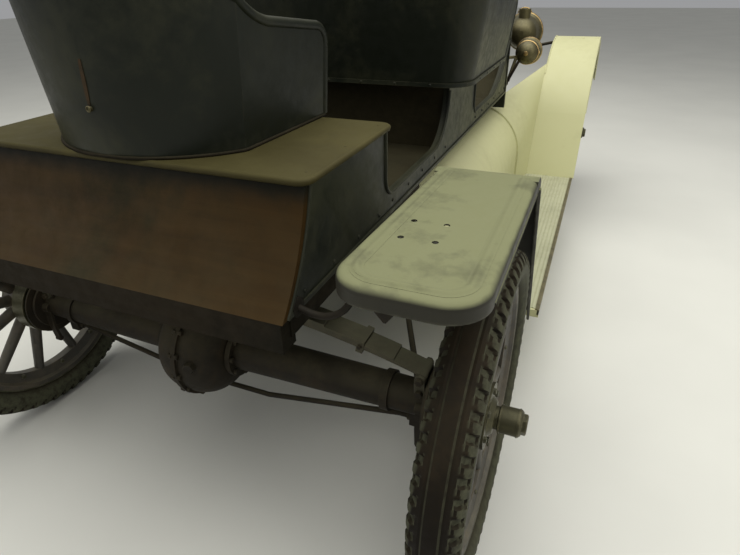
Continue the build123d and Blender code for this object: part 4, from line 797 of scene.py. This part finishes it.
def makeFrontTubTrim():
    look = frontTub
    arm = joined((1237, 960), (1222, 1100), arcThrough((1222, 1100), (1206, 1142), (1160, 1158), 8),
                 (890, 1182), arcThrough((890, 1182), (760, 1220), (676, 1320), 14), (660, 1384))
    rim = tubRim(arm, look, frontTubSide, look["rear"])
    bend = look["bend"] / mm
    foot = tubFoot(look, frontTubSide, look["rear"] + bend, bend, (10, 16))
    screws = spaced(foot, look["screwStep"])[1:-1]
    out = screws[:, :1]
    direction = np.where(np.abs(out) > 0.47, xAxis * np.sign(out), -yAxis)
    makePiece("frontTubTrim", [rim, carried(boxSection(0.010, 0.012), foot),
                               domes(screws + direction * 0.004, direction, 0.0042, 0.0028)],
              "bodyPaint")


# the sides' screws stand in rows: from, to (both in mm) and height
bodyTrimLook = {"bead": 0.0048, "half": 0.4145, "screwStep": 120, "skirtLow": 0.688, "skirtHigh": 0.7335,
                "skirtOut": 0.4070, "sill": 0.7345, "backLine": ((-266, 730), (-188, 842), (-152, 941)),
                "screws": ((-200, 180, 0.752), (250, 740, 0.758), (1150, 1760, 0.758))}


def makeBodyTrim():
    # half-round moulding on the outer edge of each side's cut-outs, and on the back panel's ends
    look, half = bodyTrimLook, bodyTrimLook["half"]
    rear = joined(arcThrough((746, 928), (699, 823), (581, 781), 14),
                  arcThrough((245, 781), (214, 794), (201, 822), 8), (201, 940))
    front = joined(arcThrough((1779, 960), (1624, 832), (1474, 777), 18), (1138, 781),
                   (1108, 810), (1108, 948))
    sill = ((half, at(-262), look["sill"]), (half, at(1776), look["sill"]))
    shapes = [rod(sideLine(half, rear), look["bead"], 0.01, xAxis),
              rod(sideLine(half, front), look["bead"], 0.01, xAxis), strip(sill, 0.007, 0.009, 0.05),
              rod(sideLine(half, arcThrough(*look["backLine"])), 0.004, 0.01, xAxis)]
    for first, last, z in look["screws"]:
        row = placed(half, at(np.arange(first, last, look["screwStep"])), z)
        shapes.append(domes(row, xAxis, 0.0045, 0.0026))
    makePiece("bodyTrim", both(shapes), "bodyPaint")
    # dark board that closes the gap under each side, down to the frame
    low, high = look["skirtLow"], look["skirtHigh"]
    skirt = placed(look["skirtOut"], at(np.array((-256, 470))), (low + high) / 2)
    makePiece("sillSkirts", both([strip(skirt, 0.012, high - low, 0.04)]), "sillWood")


def makeDeckTrim():
    # rounded lip under the deck's edge, and a few flat screws in its top
    edge = joined(arcThrough((-156, 422), (-171.6, 415.6), (-178, 400), 6)[::-1], (-156, 422), (195, 422),
                  arcThrough((195, 422), (210.6, 415.6), (217, 400), 6))
    half = placed(edge[:, 1] * mm, at(edge[:, 0]), 0.947)
    lip = spaced(np.concatenate((half, half[::-1] * (-1, 1, 1), half[:1])), 0.012)[:-1]
    screws = placed(0.402, at(np.array((-140, 20, 190))), 0.953)
    makePiece("deckTrim", [tube(lip, 0.0068, closed=True)] + both([domes(screws, zAxis, 0.0035, 0.0008, 10)]),
              "deckPaint")


fenderLook = {"moundHalf": 0.012, "moundHigh": 0.0032, "pan": 0.848, "edgeOut": 0.752, "ironAt": -232,
              "ironX": 0.413, "ironZ": 0.738, "frontCrown": 0.527, "frontRim": 0.505, "frontInner": 0.5515,
              "frontOuter": 0.7855, "frontTurns": (-65.0, 62.5), "boltTurns": (-5.2, 20.0, 45.0)}


def makeRearFenderTrim():
    look, out = fenderLook, fenderLook["edgeOut"]
    # wired edges: down the slope, and level under the pan's outer edge
    slope = ((out, at(296) - 0.010, 0.816), (out, at(330) - 0.010, 0.755), (out, at(597) - 0.010, 0.270))
    level = placed(0.7505, at(-225 + 470 * np.linspace(0, 1, 14)), 0.816)
    # pressed bead: a low mound, whose height is a squared cosine across it, along the pan's edge
    t, half = np.linspace(-1, 1, 13), look["moundHalf"]
    mound = joined(np.stack((half * t, 0.0004 + look["moundHigh"] * np.cos(np.pi * t / 2) ** 2), -1),
                   (half, -0.0004), (-half, -0.0004))
    plan = joined((552.5, 249), arcThrough((533.8, -216), (546.8, -258), (574, -271.5), 10),
                  arcThrough((680, -271.5), (708, -260), (719.5, -232), 10), (719.5, 249))
    plan = spaced(placed(plan[:, 0] * mm, at(plan[:, 1]), look["pan"]), 0.008)
    shapes = [rod(slope, 0.0045, 0.02, xAxis, 8), tube(level, 0.0035, xAxis, 8), carried(mound, plan)]
    makePiece("rearFenderTrim", both(shapes), "fenderPaint")
    # gusset under the rear lip, and the round iron that bends up from the sill to the fender
    corners = np.array(((0.580, at(-297), 0.818), (0.626, at(-297), 0.818), (0.605, at(-293), 0.789),
                        (0.601, at(-293), 0.789)))
    faces = ((0, 1, 2, 3), (7, 6, 5, 4), (0, 4, 5, 1), (1, 5, 6, 2), (2, 6, 7, 3), (3, 7, 4, 0))
    iron = joined((0.412, 0.738), arcThrough((0.440, 0.731), (0.507, 0.753), (0.522, 0.815)), (0.523, 0.838))
    iron = placed(iron[:, 0], at(look["ironAt"]), iron[:, 1])
    shapes = [(np.concatenate((corners, corners + (0, 0.004, 0))), np.array(faces)),
              rod(iron, 0.0065, 0.006, yAxis),
              turned(((0.0, 0), (0.0, 0.019), (0.005, 0.019), (0.006, 0.012), (0.006, 0)),
                     (look["ironX"], at(look["ironAt"]), look["ironZ"]), xAxis, 20)]
    makePiece("rearFenderIrons", both(shapes), "darkIron")


def makeFrontFenderTrim():
    # wired edges all along the arc, and the bolts of its irons
    look = fenderLook

    def onArc(x, radius, turn):
        return placed(x, frontY + radius * np.sin(turn), axleHeight + radius * np.cos(turn))

    turn = np.radians(np.linspace(*look["frontTurns"], 60))
    bolts = np.radians(look["boltTurns"])
    shapes = [tube(onArc(look["frontInner"], look["frontCrown"], turn)[10:], 0.0040, xAxis, 8),
              tube(onArc(look["frontOuter"], look["frontRim"], turn), 0.0042, xAxis, 8)]
    outward = placed(0, np.sin(bolts), np.cos(bolts))
    shapes += [domes(onArc(x, look["frontCrown"], bolts), outward, 0.006, 0.0035) for x in (0.640, 0.700)]
    makePiece("frontFenderTrim", both(shapes), "creamPaint")


boardLook = {"ribs": 17, "ribHeight": 0.0022, "inner": 0.514, "outer": 0.768, "rear": 612, "front": 1925,
             "top": 0.2972, "under": 0.2965, "edge": 0.7785, "screwX": 0.774, "screwStep": 140}


def makeBoards():
    # ribbed mat: a cross section whose height is a row of rounded ribs, carried along the board
    look = boardLook
    x = np.linspace(look["inner"], look["outer"], look["ribs"] * 10 + 1)
    across = (x - look["inner"]) / (look["outer"] - look["inner"])
    ribs = np.clip(1.6 * np.sin(np.pi * across * look["ribs"]) ** 2 - 0.3, 0, 1)
    y = at(np.linspace(look["rear"], look["front"], 24))
    # the mat's front inner corner is cut on a slant, clear of the front apron's foot
    slant = np.clip((x - 0.503) / 0.047, 0, 1)[None] * 130 * mm + at(1800) - 0.012
    inside = np.minimum(y[:, None], np.where(x[None] < 0.5535, slant, 9.0))
    top = placed(x, inside, look["top"] + 0.0010 + look["ribHeight"] * ribs)
    under = placed(x, inside, look["under"])
    closed = np.concatenate((top, under[:, ::-1]), axis=1)
    count, column = closed.shape[1], np.arange(len(x) - 1)
    ends = [base + np.stack((column, column + 1, count - 2 - column, count - 1 - column), -1)
            for base in (0, (len(y) - 1) * count)]
    mat = closed.reshape(-1, 3), np.concatenate([gridQuads(len(y), count, closeColumns=True)] + ends)
    makePiece("boardMats", both([mat]), "boardMat", sharp=50)
    screws = placed(look["screwX"], at(np.arange(640, 1920, look["screwStep"])), 0.3005)
    trim = [strip(placed(look["edge"], at(np.array((602, 1930))), 0.2905), 0.006, 0.019, 0.06),
            strip(placed(look["screwX"], at(np.array((604, 1928))), 0.2985), 0.010, 0.0045, 0.06),
            domes(screws, zAxis, 0.0036, 0.0018)]
    makePiece("boardEdging", both(trim), "dullBrass")


def makeApronTrim():
    # rivets along the splash aprons' feet, and the strip over their joint with the front aprons
    rivets = placed(0.5035, at(np.arange(520, 1790, 105)), 0.318)
    seam = joined((503.6, 300), (503.6, 430), arcThrough((503.6, 430), (461.4, 566.6), (328.4, 657.6), 14))
    seam = placed(seam[:, 0] * mm, at(1796), seam[:, 1] * mm)
    shapes = [domes(rivets, xAxis, 0.0045, 0.0026), strip(seam, 0.014, 0.003, 0.02, yAxis)]
    makePiece("apronTrim", both(shapes), "creamPaint")


makeRearTubTrim()
makeFrontTubTrim()
makeBodyTrim()
makeDeckTrim()
makeRearFenderTrim()
makeFrontFenderTrim()
makeBoards()
makeApronTrim()
print("body, fender and board trim")

radiatorLook = {"fins": 46, "halfWidth": 0.198, "low": 0.712, "high": 0.960, "face": 0.0585, "shell": 0.0725,
                "capAt": 0.036, "capFoot": 1.1225, "wings": 4, "opening": (0.204, 0.706, 0.967),
                "seam": 0.985}


def makeRadiator():
    look, shell = radiatorLook, frontY + radiatorLook["shell"]
    # thin level fins across the core's face
    x = look["halfWidth"] * np.array((-1, 0, 1))
    makePiece("radiatorFins", [carried(boxSection(0.010, 0.0011), placed(x, frontY + look["face"], z))
                               for z in np.linspace(look["low"], look["high"], look["fins"])],
              "radiatorCore")
    y, wings = frontY + look["capAt"], evenTurns(look["wings"], 0.3)
    out = placed(np.cos(wings), np.sin(wings), 0)
    cap = [turned(((0, 0), (0, 0.035), (0.004, 0.037), (0.010, 0.033), (0.016, 0.020), (0.020, 0.012),
                   (0.030, 0.010), (0.036, 0.006), (0.037, 0)), (0, y, look["capFoot"]), zAxis, 32),
           domes((0, y, 1.116) + 0.032 * out, out, 0.007, 0.007, 10)]
    # bead around the core's opening, the tank's seam and the shell's rivets
    w, low, high = look["opening"]
    corners = ((-w, low), (w, low), (w, high), (-w, high), (-w, low))
    ring = spaced([(x, shell, z) for x, z in corners], 0.02)[:-1]
    seam = ((-0.236, shell, look["seam"]), (0.236, shell, look["seam"]))
    rivets = [(x, shell, z) for x in (-0.22, 0.22) for z in (0.68, 0.76, 0.86, 0.94)]
    makePiece("radiatorTrim", cap + [tube(ring, 0.004, yAxis, 8, True), rod(seam, 0.0025, 0.03, yAxis, 8),
                                     domes(rivets, yAxis, 0.005, 0.003, 10)], "brass")


lampLook = {"head": (0.350, 2620, 0.915), "side": (0.490, 1850, 0.905)}


def makeLamps():
    brass, glass = [], []
    for side in sides:
        x, y, z = lampLook["head"]
        lamp = np.array((side * x, at(y), z))  # headlamp: bezel, chimney, reflector's rim, lens and bail
        bail = np.radians(np.linspace(-80, 80, 18))
        brass += [turned(((0.060, 0.094), (0.066, 0.107), (0.074, 0.110), (0.081, 0.106), (0.082, 0.097),
                          (0.078, 0.094)), lamp, yAxis, 56),
                  turned(((0.0, 0), (0.0, 0.030), (0.012, 0.034), (0.016, 0.024), (0.026, 0.020), (0.030, 0)),
                         lamp + (0, 0.004, 0.087), zAxis, 32),
                  collar(lamp + (0, 0.0745, 0), yAxis, 0, -0.004, 0.010, 0.096, 48),
                  tube(lamp + placed(0.040 * np.sin(bail), 0.004, 0.100 + 0.034 * np.cos(bail)),
                       0.003, yAxis, 8)]
        glass.append(turned(((0.074, 0.097), (0.080, 0.085), (0.086, 0.060), (0.0895, 0.030), (0.0905, 0)),
                            lamp, yAxis, 48))
        x, y, z = lampLook["side"]
        lamp = np.array((side * x, at(y), z))  # side lamp: bezel, back, band, key and lens
        brass += [turned(((0.046, 0.049), (0.050, 0.060), (0.057, 0.0615), (0.0605, 0.057), (0.060, 0.050)),
                         lamp, yAxis),
                  turned(((-0.055, 0), (-0.053, 0.009), (-0.047, 0.012), (-0.044, 0.011)), lamp, yAxis, 20),
                  turned(((-0.013, 0.0505), (-0.010, 0.0535), (-0.004, 0.0535), (-0.001, 0.0505)),
                         lamp, yAxis),
                  domes(lamp + (side * 0.050, 0.010, 0), (side, 0, 0), 0.007, 0.007, 10)]
        glass.append(turned(((0.052, 0.050), (0.058, 0.036), (0.0615, 0.018), (0.0625, 0)), lamp, yAxis, 32))
    makePiece("lampBrass", brass, "brass")
    makePiece("lampGlass", glass, "glass")


# the hood narrows from rear to front; its ends' beads are given by place and half width
hoodLook = {"rear": 1806, "length": 728, "rearHalf": 0.300, "narrows": 0.068, "knuckleStep": 46,
            "catches": (1960, 2380), "grip": 2170, "beads": ((1803.0, 0.304), (2537.0, 0.237))}


def makeHoodTrim():
    look = hoodLook

    def hoodSide(side, y, out=0.0):
        return side * (look["rearHalf"] - look["narrows"] * (y - look["rear"]) / look["length"] + out)

    # hinge knuckles along the crown, two catches and a lifting handle on each half
    y = at(np.arange(1830, 2520, look["knuckleStep"]))
    makePiece("hoodKnuckles", [collar((0, place, 1.083), yAxis, -0.012, 0.012, 0.0052, 0.0066, 12)
                               for place in y], "dullBrass")
    for name, side in (("left", -1), ("right", 1)):
        shapes = []
        for y in look["catches"]:
            hook = [(hoodSide(side, y, out), at(y), z) for out, z in ((0.006, 0.775), (0.009, 0.745),
                                                                      (0.004, 0.732))]
            shapes += [domes((hoodSide(side, y, 0.001), at(y), 0.762), (side, 0, 0), 0.011, 0.006, 12),
                       rod(hook, 0.0035, 0.006, yAxis, 8)]
        grip = [(hoodSide(side, look["grip"], out), at(look["grip"] + ahead), 0.905)
                for out, ahead in ((0, -60), (0.022, -48), (0.024, 48), (0, 60))]
        shapes.append(rod(grip, 0.0042, 0.008, zAxis, 8))
        makePiece("hoodCatches_" + name, shapes, "dullBrass", "hood_" + name + "_half")
    # beads that hold the hood's ends, one on the firewall and one on the radiator's shell
    beads = []
    for y, half in look["beads"]:
        knee = half / 2
        arch = joined((-half, 0.722), arcThrough((-half, 0.964), (-knee - 0.72 * (half - knee), 1.047),
                                                 (-knee, 1.083), 10), (0, 1.0885))
        arch = np.concatenate((arch, arch[::-1][1:] * (-1, 1)))
        beads.append(rod(placed(arch[:, 0], at(y), arch[:, 1]), 0.0025, 0.02, yAxis, 8))
    makePiece("hoodBeads", beads, "dullBrass")


steeringLook = {"foot": (-0.225, 2330, 0.520), "top": (-0.225, 1380, 1.330), "quadrantDown": 0.060,
                "quadrantRadius": 0.085, "quadrantTurns": (200, 340), "levers": (222, 318),
                "leverReach": 0.150}


def makeSteeringTrim():
    look = steeringLook
    foot, top = (np.array((x, at(y), z)) for x, y, z in (look["foot"], look["top"]))
    axis = unit(top - foot)
    ahead = np.cross(axis, xAxis)

    def towards(degrees):
        angle = np.radians(degrees)
        return np.cos(angle)[..., None] * xAxis + np.sin(angle)[..., None] * ahead

    # cap and spoke ends of the wheel, which turn with it
    cap = ((-0.004, 0), (-0.004, 0.024), (0.006, 0.020), (0.010, 0.010), (0.012, 0))
    turning = [turned(cap, top, axis, 24)]
    for spoke in towards(np.array((45, 135, 225, 315))):
        turning += [domes(top + spoke * 0.186 - axis * 0.001, axis, 0.0055, 0.004),
                    carried(boxSection(0.020, 0.004), [top + spoke * r - axis * 0.0125 * (1 - r / 0.19)
                                                       for r in (0.168, 0.180, 0.193)], axis)]
    makePiece("steeringSpider", turning, "dullBrass", "steering_wheel_body")
    # spark and gas levers on their quadrant under the wheel, its two arms, and a band on the column
    place, lift = top - axis * look["quadrantDown"], axis * 0.004
    quadrant = place + look["quadrantRadius"] * towards(np.linspace(*look["quadrantTurns"], 20))
    fixed = [carried(boxSection(0.009, 0.003), quadrant, axis),
             collar(place, axis, -0.010, 0.010, 0.020, 0.030, 24)]
    for out in towards(np.array(look["levers"])):
        end = place + out * look["leverReach"] + lift
        fixed += [rod([place + out * 0.02, end], 0.0035, 0.02, axis, 8), domes(end, out, 0.008, 0.010, 10)]
    for out in towards(np.array(look["quadrantTurns"])):
        fixed.append(rod([place + out * 0.02, place + out * look["quadrantRadius"]], 0.003, 0.02, axis, 8))
    fixed.append(collar(foot + axis * 0.72, axis, -0.006, 0.006, 0.020, 0.040, 28))
    makePiece("steeringLevers", fixed, "dullBrass")


makeRadiator()
makeLamps()
makeHoodTrim()
makeSteeringTrim()
print("front end and steering trim")

# Cushions start a little smaller than their solids, are blown up as cloth, and get their seams and
# buttons afterwards. What runs along the car (along, reach, lean, front, buttonsAhead, and the first
# row of outline) is in millimetres.
cushions = {
    "rearSeatCushion": {
        "node": "rear_seat_cushion", "voxel": 0.0075, "cap": 0.012, "fill": 0.7, "along": 36, "reach": 182,
        "height": 1.0195, "half": 0.045, "outline": ((-150, -120, -71, 236), (0.120, 0.158, 0.196, 0.207)),
        "pleat": (0.068, 0.006, 0.006), "top": 1.040, "side": 0.192, "front": 205},
    "rearBackCushion": {
        "node": "rear_back_cushion", "voxel": 0.0070, "cap": 0.010, "fill": 0.6, "along": 62.8,
        "height": 1.209, "half": 0.124, "turn": 52, "radius": 0.189, "thick": 0.028, "inner": 0.186,
        "buttonRadius": 0.160, "unrolled": 0.162, "stepX": 0.088, "stepZ": 0.088,
        "side": 0.128},
    "frontSeatCushion": {
        "node": "front_seat_cushion", "voxel": 0.0090, "cap": 0.014, "fill": 0.7, "along": 946.5,
        "reach": 262, "height": 1.0245, "half": 0.050, "outline": ((600, 1300), (0.440, 0.440)),
        "pleat": (0.085, 0.0065, 0.007), "top": 1.045, "side": 0.425, "front": 1195},
    "frontBackCushion": {
        "node": "front_back_cushion", "voxel": 0.0090, "cap": 0.012, "fill": 0.6, "along": 706, "reach": 33,
        "height": 1.226, "half": 0.129, "width": 0.441, "foot": 1.0857, "rise": 0.2793, "lean": 48,
        "buttonsAhead": 30, "stepX": 0.112, "stepZ": 0.094, "side": 0.40},
}
clothLook = {"quality": 5, "mass": 0.3, "stiffness": 12, "bending": 0.6, "pressure": 4.0, "frames": 20}
tuftLook = {"high": 0.105, "seamWide": 0.055, "seamDeep": 0.0045, "pitWide": 0.13, "pitDeep": 0.009}


def roundedBlock(steps, hardness):
    # superellipsoid in a box from -1 to 1: each coordinate is made of sines and cosines to a small power
    u = np.linspace(0, 2 * np.pi, steps * 2, endpoint=False)[:, None]
    v = np.linspace(-np.pi / 2, np.pi / 2, steps)[None]
    power = 1 / hardness

    def shaped(value):
        return np.sign(value) * np.abs(value) ** power

    flat = shaped(np.cos(v))
    return flat * shaped(np.cos(u)), flat * shaped(np.sin(u)), shaped(np.sin(v)) * np.ones_like(u)


def backLine(look, z):
    # the front back's middle leans back as it rises
    return look["along"] - look["lean"] * (z - look["foot"]) / look["rise"]


def cushionStart(look):
    a, b, c = roundedBlock(72, 5.0)
    z = look["height"] + c * look["half"]
    if "outline" in look:
        y = look["along"] + b * look["reach"]
        return a * np.interp(y, *look["outline"]), at(y), z
    if "lean" in look:
        return a * look["width"], at(backLine(look, z) + b * look["reach"]), z
    # the rear back is bent round an upright line, and thinner at its ends
    angle = a * math.radians(look["turn"])
    radius = look["radius"] + b * look["thick"] * np.sqrt(np.clip(1 - 0.5 * a ** 4, 0, 1))
    return radius * np.sin(angle), at(look["along"]) - radius * np.cos(angle), z


def tufting(look, points):
    # depth of the stitched pattern at each point, in metres, with the buttons' places
    x, y, z = points[:, 0], (points[:, 1] - rearY) / mm, points[:, 2]
    if "pleat" in look:  # grooves from back to front, each a bell curve, inside a plain border
        pitch, wide, deep = look["pleat"]
        face = np.clip((z - look["top"]) / 0.02, 0, 1)
        inside = np.clip((look["side"] - np.abs(x)) / 0.03, 0, 1) * np.clip((look["front"] - y) / 30, 0, 1)
        groove = (np.mod(x + pitch / 2, pitch) - pitch / 2) / wide
        return face * inside * deep * np.exp(-groove ** 2), []
    # backs: diamonds between two families of slanting seams, with a button where they cross
    if "lean" in look:
        across, face = x, np.clip((y - backLine(look, z)) / 14, 0, 1)
    else:
        ahead = at(look["along"]) - points[:, 1]
        across = np.arctan2(x, ahead) * look["unrolled"]
        face = np.clip((look["inner"] - np.hypot(x, ahead)) / 0.008, 0, 1)
    stepX, stepZ, up = look["stepX"], look["stepZ"], z - look["height"]
    p, q = across / stepX + up / stepZ, across / stepX - up / stepZ
    edge = (np.clip((look["side"] - np.abs(across)) / 0.03, 0, 1)
            * np.clip((tuftLook["high"] - np.abs(up)) / 0.02, 0, 1))
    p, q = (np.mod(seam, 1) - 0.5 for seam in (p, q))
    seams = np.exp(-(p / tuftLook["seamWide"]) ** 2) + np.exp(-(q / tuftLook["seamWide"]) ** 2)
    pits = np.exp(-(p / tuftLook["pitWide"]) ** 2 - (q / tuftLook["pitWide"]) ** 2)
    marks = [((i + j + 1) / 2 * stepX, look["height"] + (i - j) / 2 * stepZ)
             for i in range(-8, 8) for j in range(-8, 8)]
    marks = [(u, v) for u, v in marks if abs(u) < look["side"] - 0.02 and abs(v - look["height"]) < 0.09]
    return edge * face * (tuftLook["seamDeep"] * np.clip(seams, 0, 1) + tuftLook["pitDeep"] * pits), marks


def readPoints(mesh, kind="co"):
    points = np.empty(len(mesh.vertices) * 3)
    mesh.vertices.foreach_get(kind, points)
    return points.reshape(-1, 3)


def writePoints(mesh, points):
    mesh.vertices.foreach_set("co", np.ascontiguousarray(points).ravel())
    mesh.update()


def swell(piece, start, cap):
    # cloth under pressure, each point held within the cap of where it started
    cloth = piece.modifiers.new("swell", "CLOTH")
    cloth.settings.quality, cloth.settings.mass = clothLook["quality"], clothLook["mass"]
    cloth.settings.tension_stiffness = cloth.settings.compression_stiffness = clothLook["stiffness"]
    cloth.settings.bending_stiffness = clothLook["bending"]
    cloth.settings.use_pressure, cloth.settings.uniform_pressure_force = True, clothLook["pressure"]
    cloth.settings.effector_weights.gravity = 0
    for step in range(1, clothLook["frames"] + 1):
        bpy.context.scene.frame_set(step)
    evaluated = bpy.context.evaluated_depsgraph_get()
    move = readPoints(piece.evaluated_get(evaluated).to_mesh()) - start
    reach = np.linalg.norm(move, axis=1, keepdims=True)
    piece.modifiers.clear()
    bpy.context.scene.frame_set(1)
    return start + move * np.minimum(1, cap / np.maximum(reach, 1e-9))


def makeCushion(name, look):
    grid = placed(*cushionStart(look))
    piece = makePiece(name, [(grid.reshape(-1, 3), gridQuads(*grid.shape[:2], closeRows=True))], "leather",
                      carBody, [look["node"]], 180)
    skin = piece.modifiers.new("skin", "REMESH")
    skin.mode, skin.voxel_size = "VOXEL", look["voxel"]
    evaluated = bpy.context.evaluated_depsgraph_get()
    piece.data = bpy.data.meshes.new_from_object(piece.evaluated_get(evaluated))
    piece.modifiers.clear()
    points = readPoints(piece.data)
    points = swell(piece, points, look["cap"])
    low, high = (np.array(corner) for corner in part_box(look["node"]))
    points = np.clip(points, low + 0.0003, high + 0.006)
    writePoints(piece.data, points)
    depth, marks = tufting(look, points)
    points = points - readPoints(piece.data, "normal") * depth[:, None]
    writePoints(piece.data, points)
    piece.data.polygons.foreach_set("use_smooth", np.ones(len(piece.data.polygons), bool))
    finer = piece.modifiers.new("finer", "SUBSURF")
    finer.levels = finer.render_levels = 1
    if marks:
        makeButtons(name, look, np.array(marks), points)


def makeButtons(name, look, marks, skin):
    # a covered button sits on the leather at each crossing of the seams
    if "lean" in look:
        places = placed(marks[:, 0], at(backLine(look, marks[:, 1]) + look["buttonsAhead"]), marks[:, 1])
        outward = np.broadcast_to((0.0, 0.985, 0.17), places.shape)
        forward = places[:, None, 1] < skin[None, :, 1]
    else:
        angle = marks[:, 0] / look["unrolled"]
        outward = placed(-np.sin(angle), np.cos(angle), 0)
        places = placed(0, at(look["along"]), marks[:, 1]) - look["buttonRadius"] * outward
        forward = np.hypot(skin[:, 0], skin[:, 1] - at(look["along"]))[None] < look["inner"]
    sideways = np.linalg.norm(np.cross(skin[None] - places[:, None], outward[:, None]), axis=-1)
    sideways = np.where(forward, sideways, 9.0)
    nearest = skin[np.argmin(sideways, axis=1)]
    along = np.sum((nearest - places) * outward, axis=1, keepdims=True)
    buttons = domes(places + outward * (along + 0.001), outward, 0.008, 0.005, 12)
    makePiece(name + "Buttons", [buttons], "leather")


for name, look in cushions.items():
    makeCushion(name, look)
    print(name)


stageLook = {"size": 40.0, "colour": (0.66, 0.66, 0.60)}


def makeStage():
    half = stageLook["size"] / 2
    mesh = bpy.data.meshes.new("floor")
    corners = [(-half, -half, 0), (half, -half, 0), (half, half, 0), (-half, half, 0)]
    mesh.from_pydata(corners, [], [(0, 1, 2, 3)])
    floor = bpy.data.objects.new("floor", mesh)
    bpy.context.scene.collection.objects.link(floor)
    material, tree, shader = newMaterial("paleFloor")
    cloud = stepRange(tree, noise(tree, objectPlace(tree), 1.6, 6.0), 0.3, 0.7)
    darker = tuple(0.95 * channel for channel in stageLook["colour"])
    tree.links.new(mixColour(tree, cloud, stageLook["colour"], darker), shader["Base Color"])
    shader["Roughness"].default_value = 0.75
    mesh.materials.append(material)


def addSoftbox(name, place, aim, size, power, colour):
    light = bpy.data.lights.new(name, "AREA")
    light.shape, light.size, light.size_y = "RECTANGLE", size[0], size[1]
    light.energy, light.color = power, colour
    lamp = bpy.data.objects.new(name, light)
    lamp.location = place
    lamp.rotation_euler = (Vector(aim) - Vector(place)).to_track_quat("-Z", "Y").to_euler()
    bpy.context.scene.collection.objects.link(lamp)


softboxes = (  # name, place, what it points at, width and height, watts, colour
    ("overhead", (0.2, -0.5, 4.6), (0, -0.3, 0), (6.0, 7.0), 330, (1.0, 0.985, 0.95)),
    ("rightSide", (4.2, -1.8, 2.6), (0, -0.2, 0.6), (3.0, 3.0), 40, (1.0, 0.98, 0.94)),
    ("leftRear", (-3.4, -4.2, 2.6), (0, -0.6, 0.7), (3.0, 2.4), 26, (1.0, 0.99, 0.96)))


def makeLights():
    world = bpy.data.worlds.new("studio")
    world.use_nodes = True
    background = world.node_tree.nodes["Background"].inputs
    background["Color"].default_value = (0.97, 0.98, 1.0, 1)
    background["Strength"].default_value = 0.33
    bpy.context.scene.world = world
    for softbox in softboxes:
        addSoftbox(*softbox)


cameraView = {"place": (0.842, -2.216, 1.246), "yaw": 23.21, "pitch": 29.99, "roll": -1.30, "lens": 25.77}


def makeCamera():
    yaw, pitch, roll = (math.radians(cameraView[key]) for key in ("yaw", "pitch", "roll"))
    forward = Vector((-math.sin(yaw) * math.cos(pitch), math.cos(yaw) * math.cos(pitch), -math.sin(pitch)))
    right = Vector((math.cos(yaw), math.sin(yaw), 0))
    up = right.cross(forward)
    right, up = (right * math.cos(roll) + up * math.sin(roll), up * math.cos(roll) - right * math.sin(roll))
    camera = bpy.data.objects.new("camera", bpy.data.cameras.new("camera"))
    camera.data.lens, camera.data.sensor_width = cameraView["lens"], 36.0
    camera.data.clip_start = 0.02
    camera.matrix_world = Matrix((right, up, -forward)).transposed().to_4x4()
    camera.location = cameraView["place"]
    bpy.context.scene.collection.objects.link(camera)
    bpy.context.scene.camera = camera


makeStage()
makeLights()
makeCamera()
bpy.context.scene.view_settings.view_transform = "Standard"
print("stage, lights and camera")
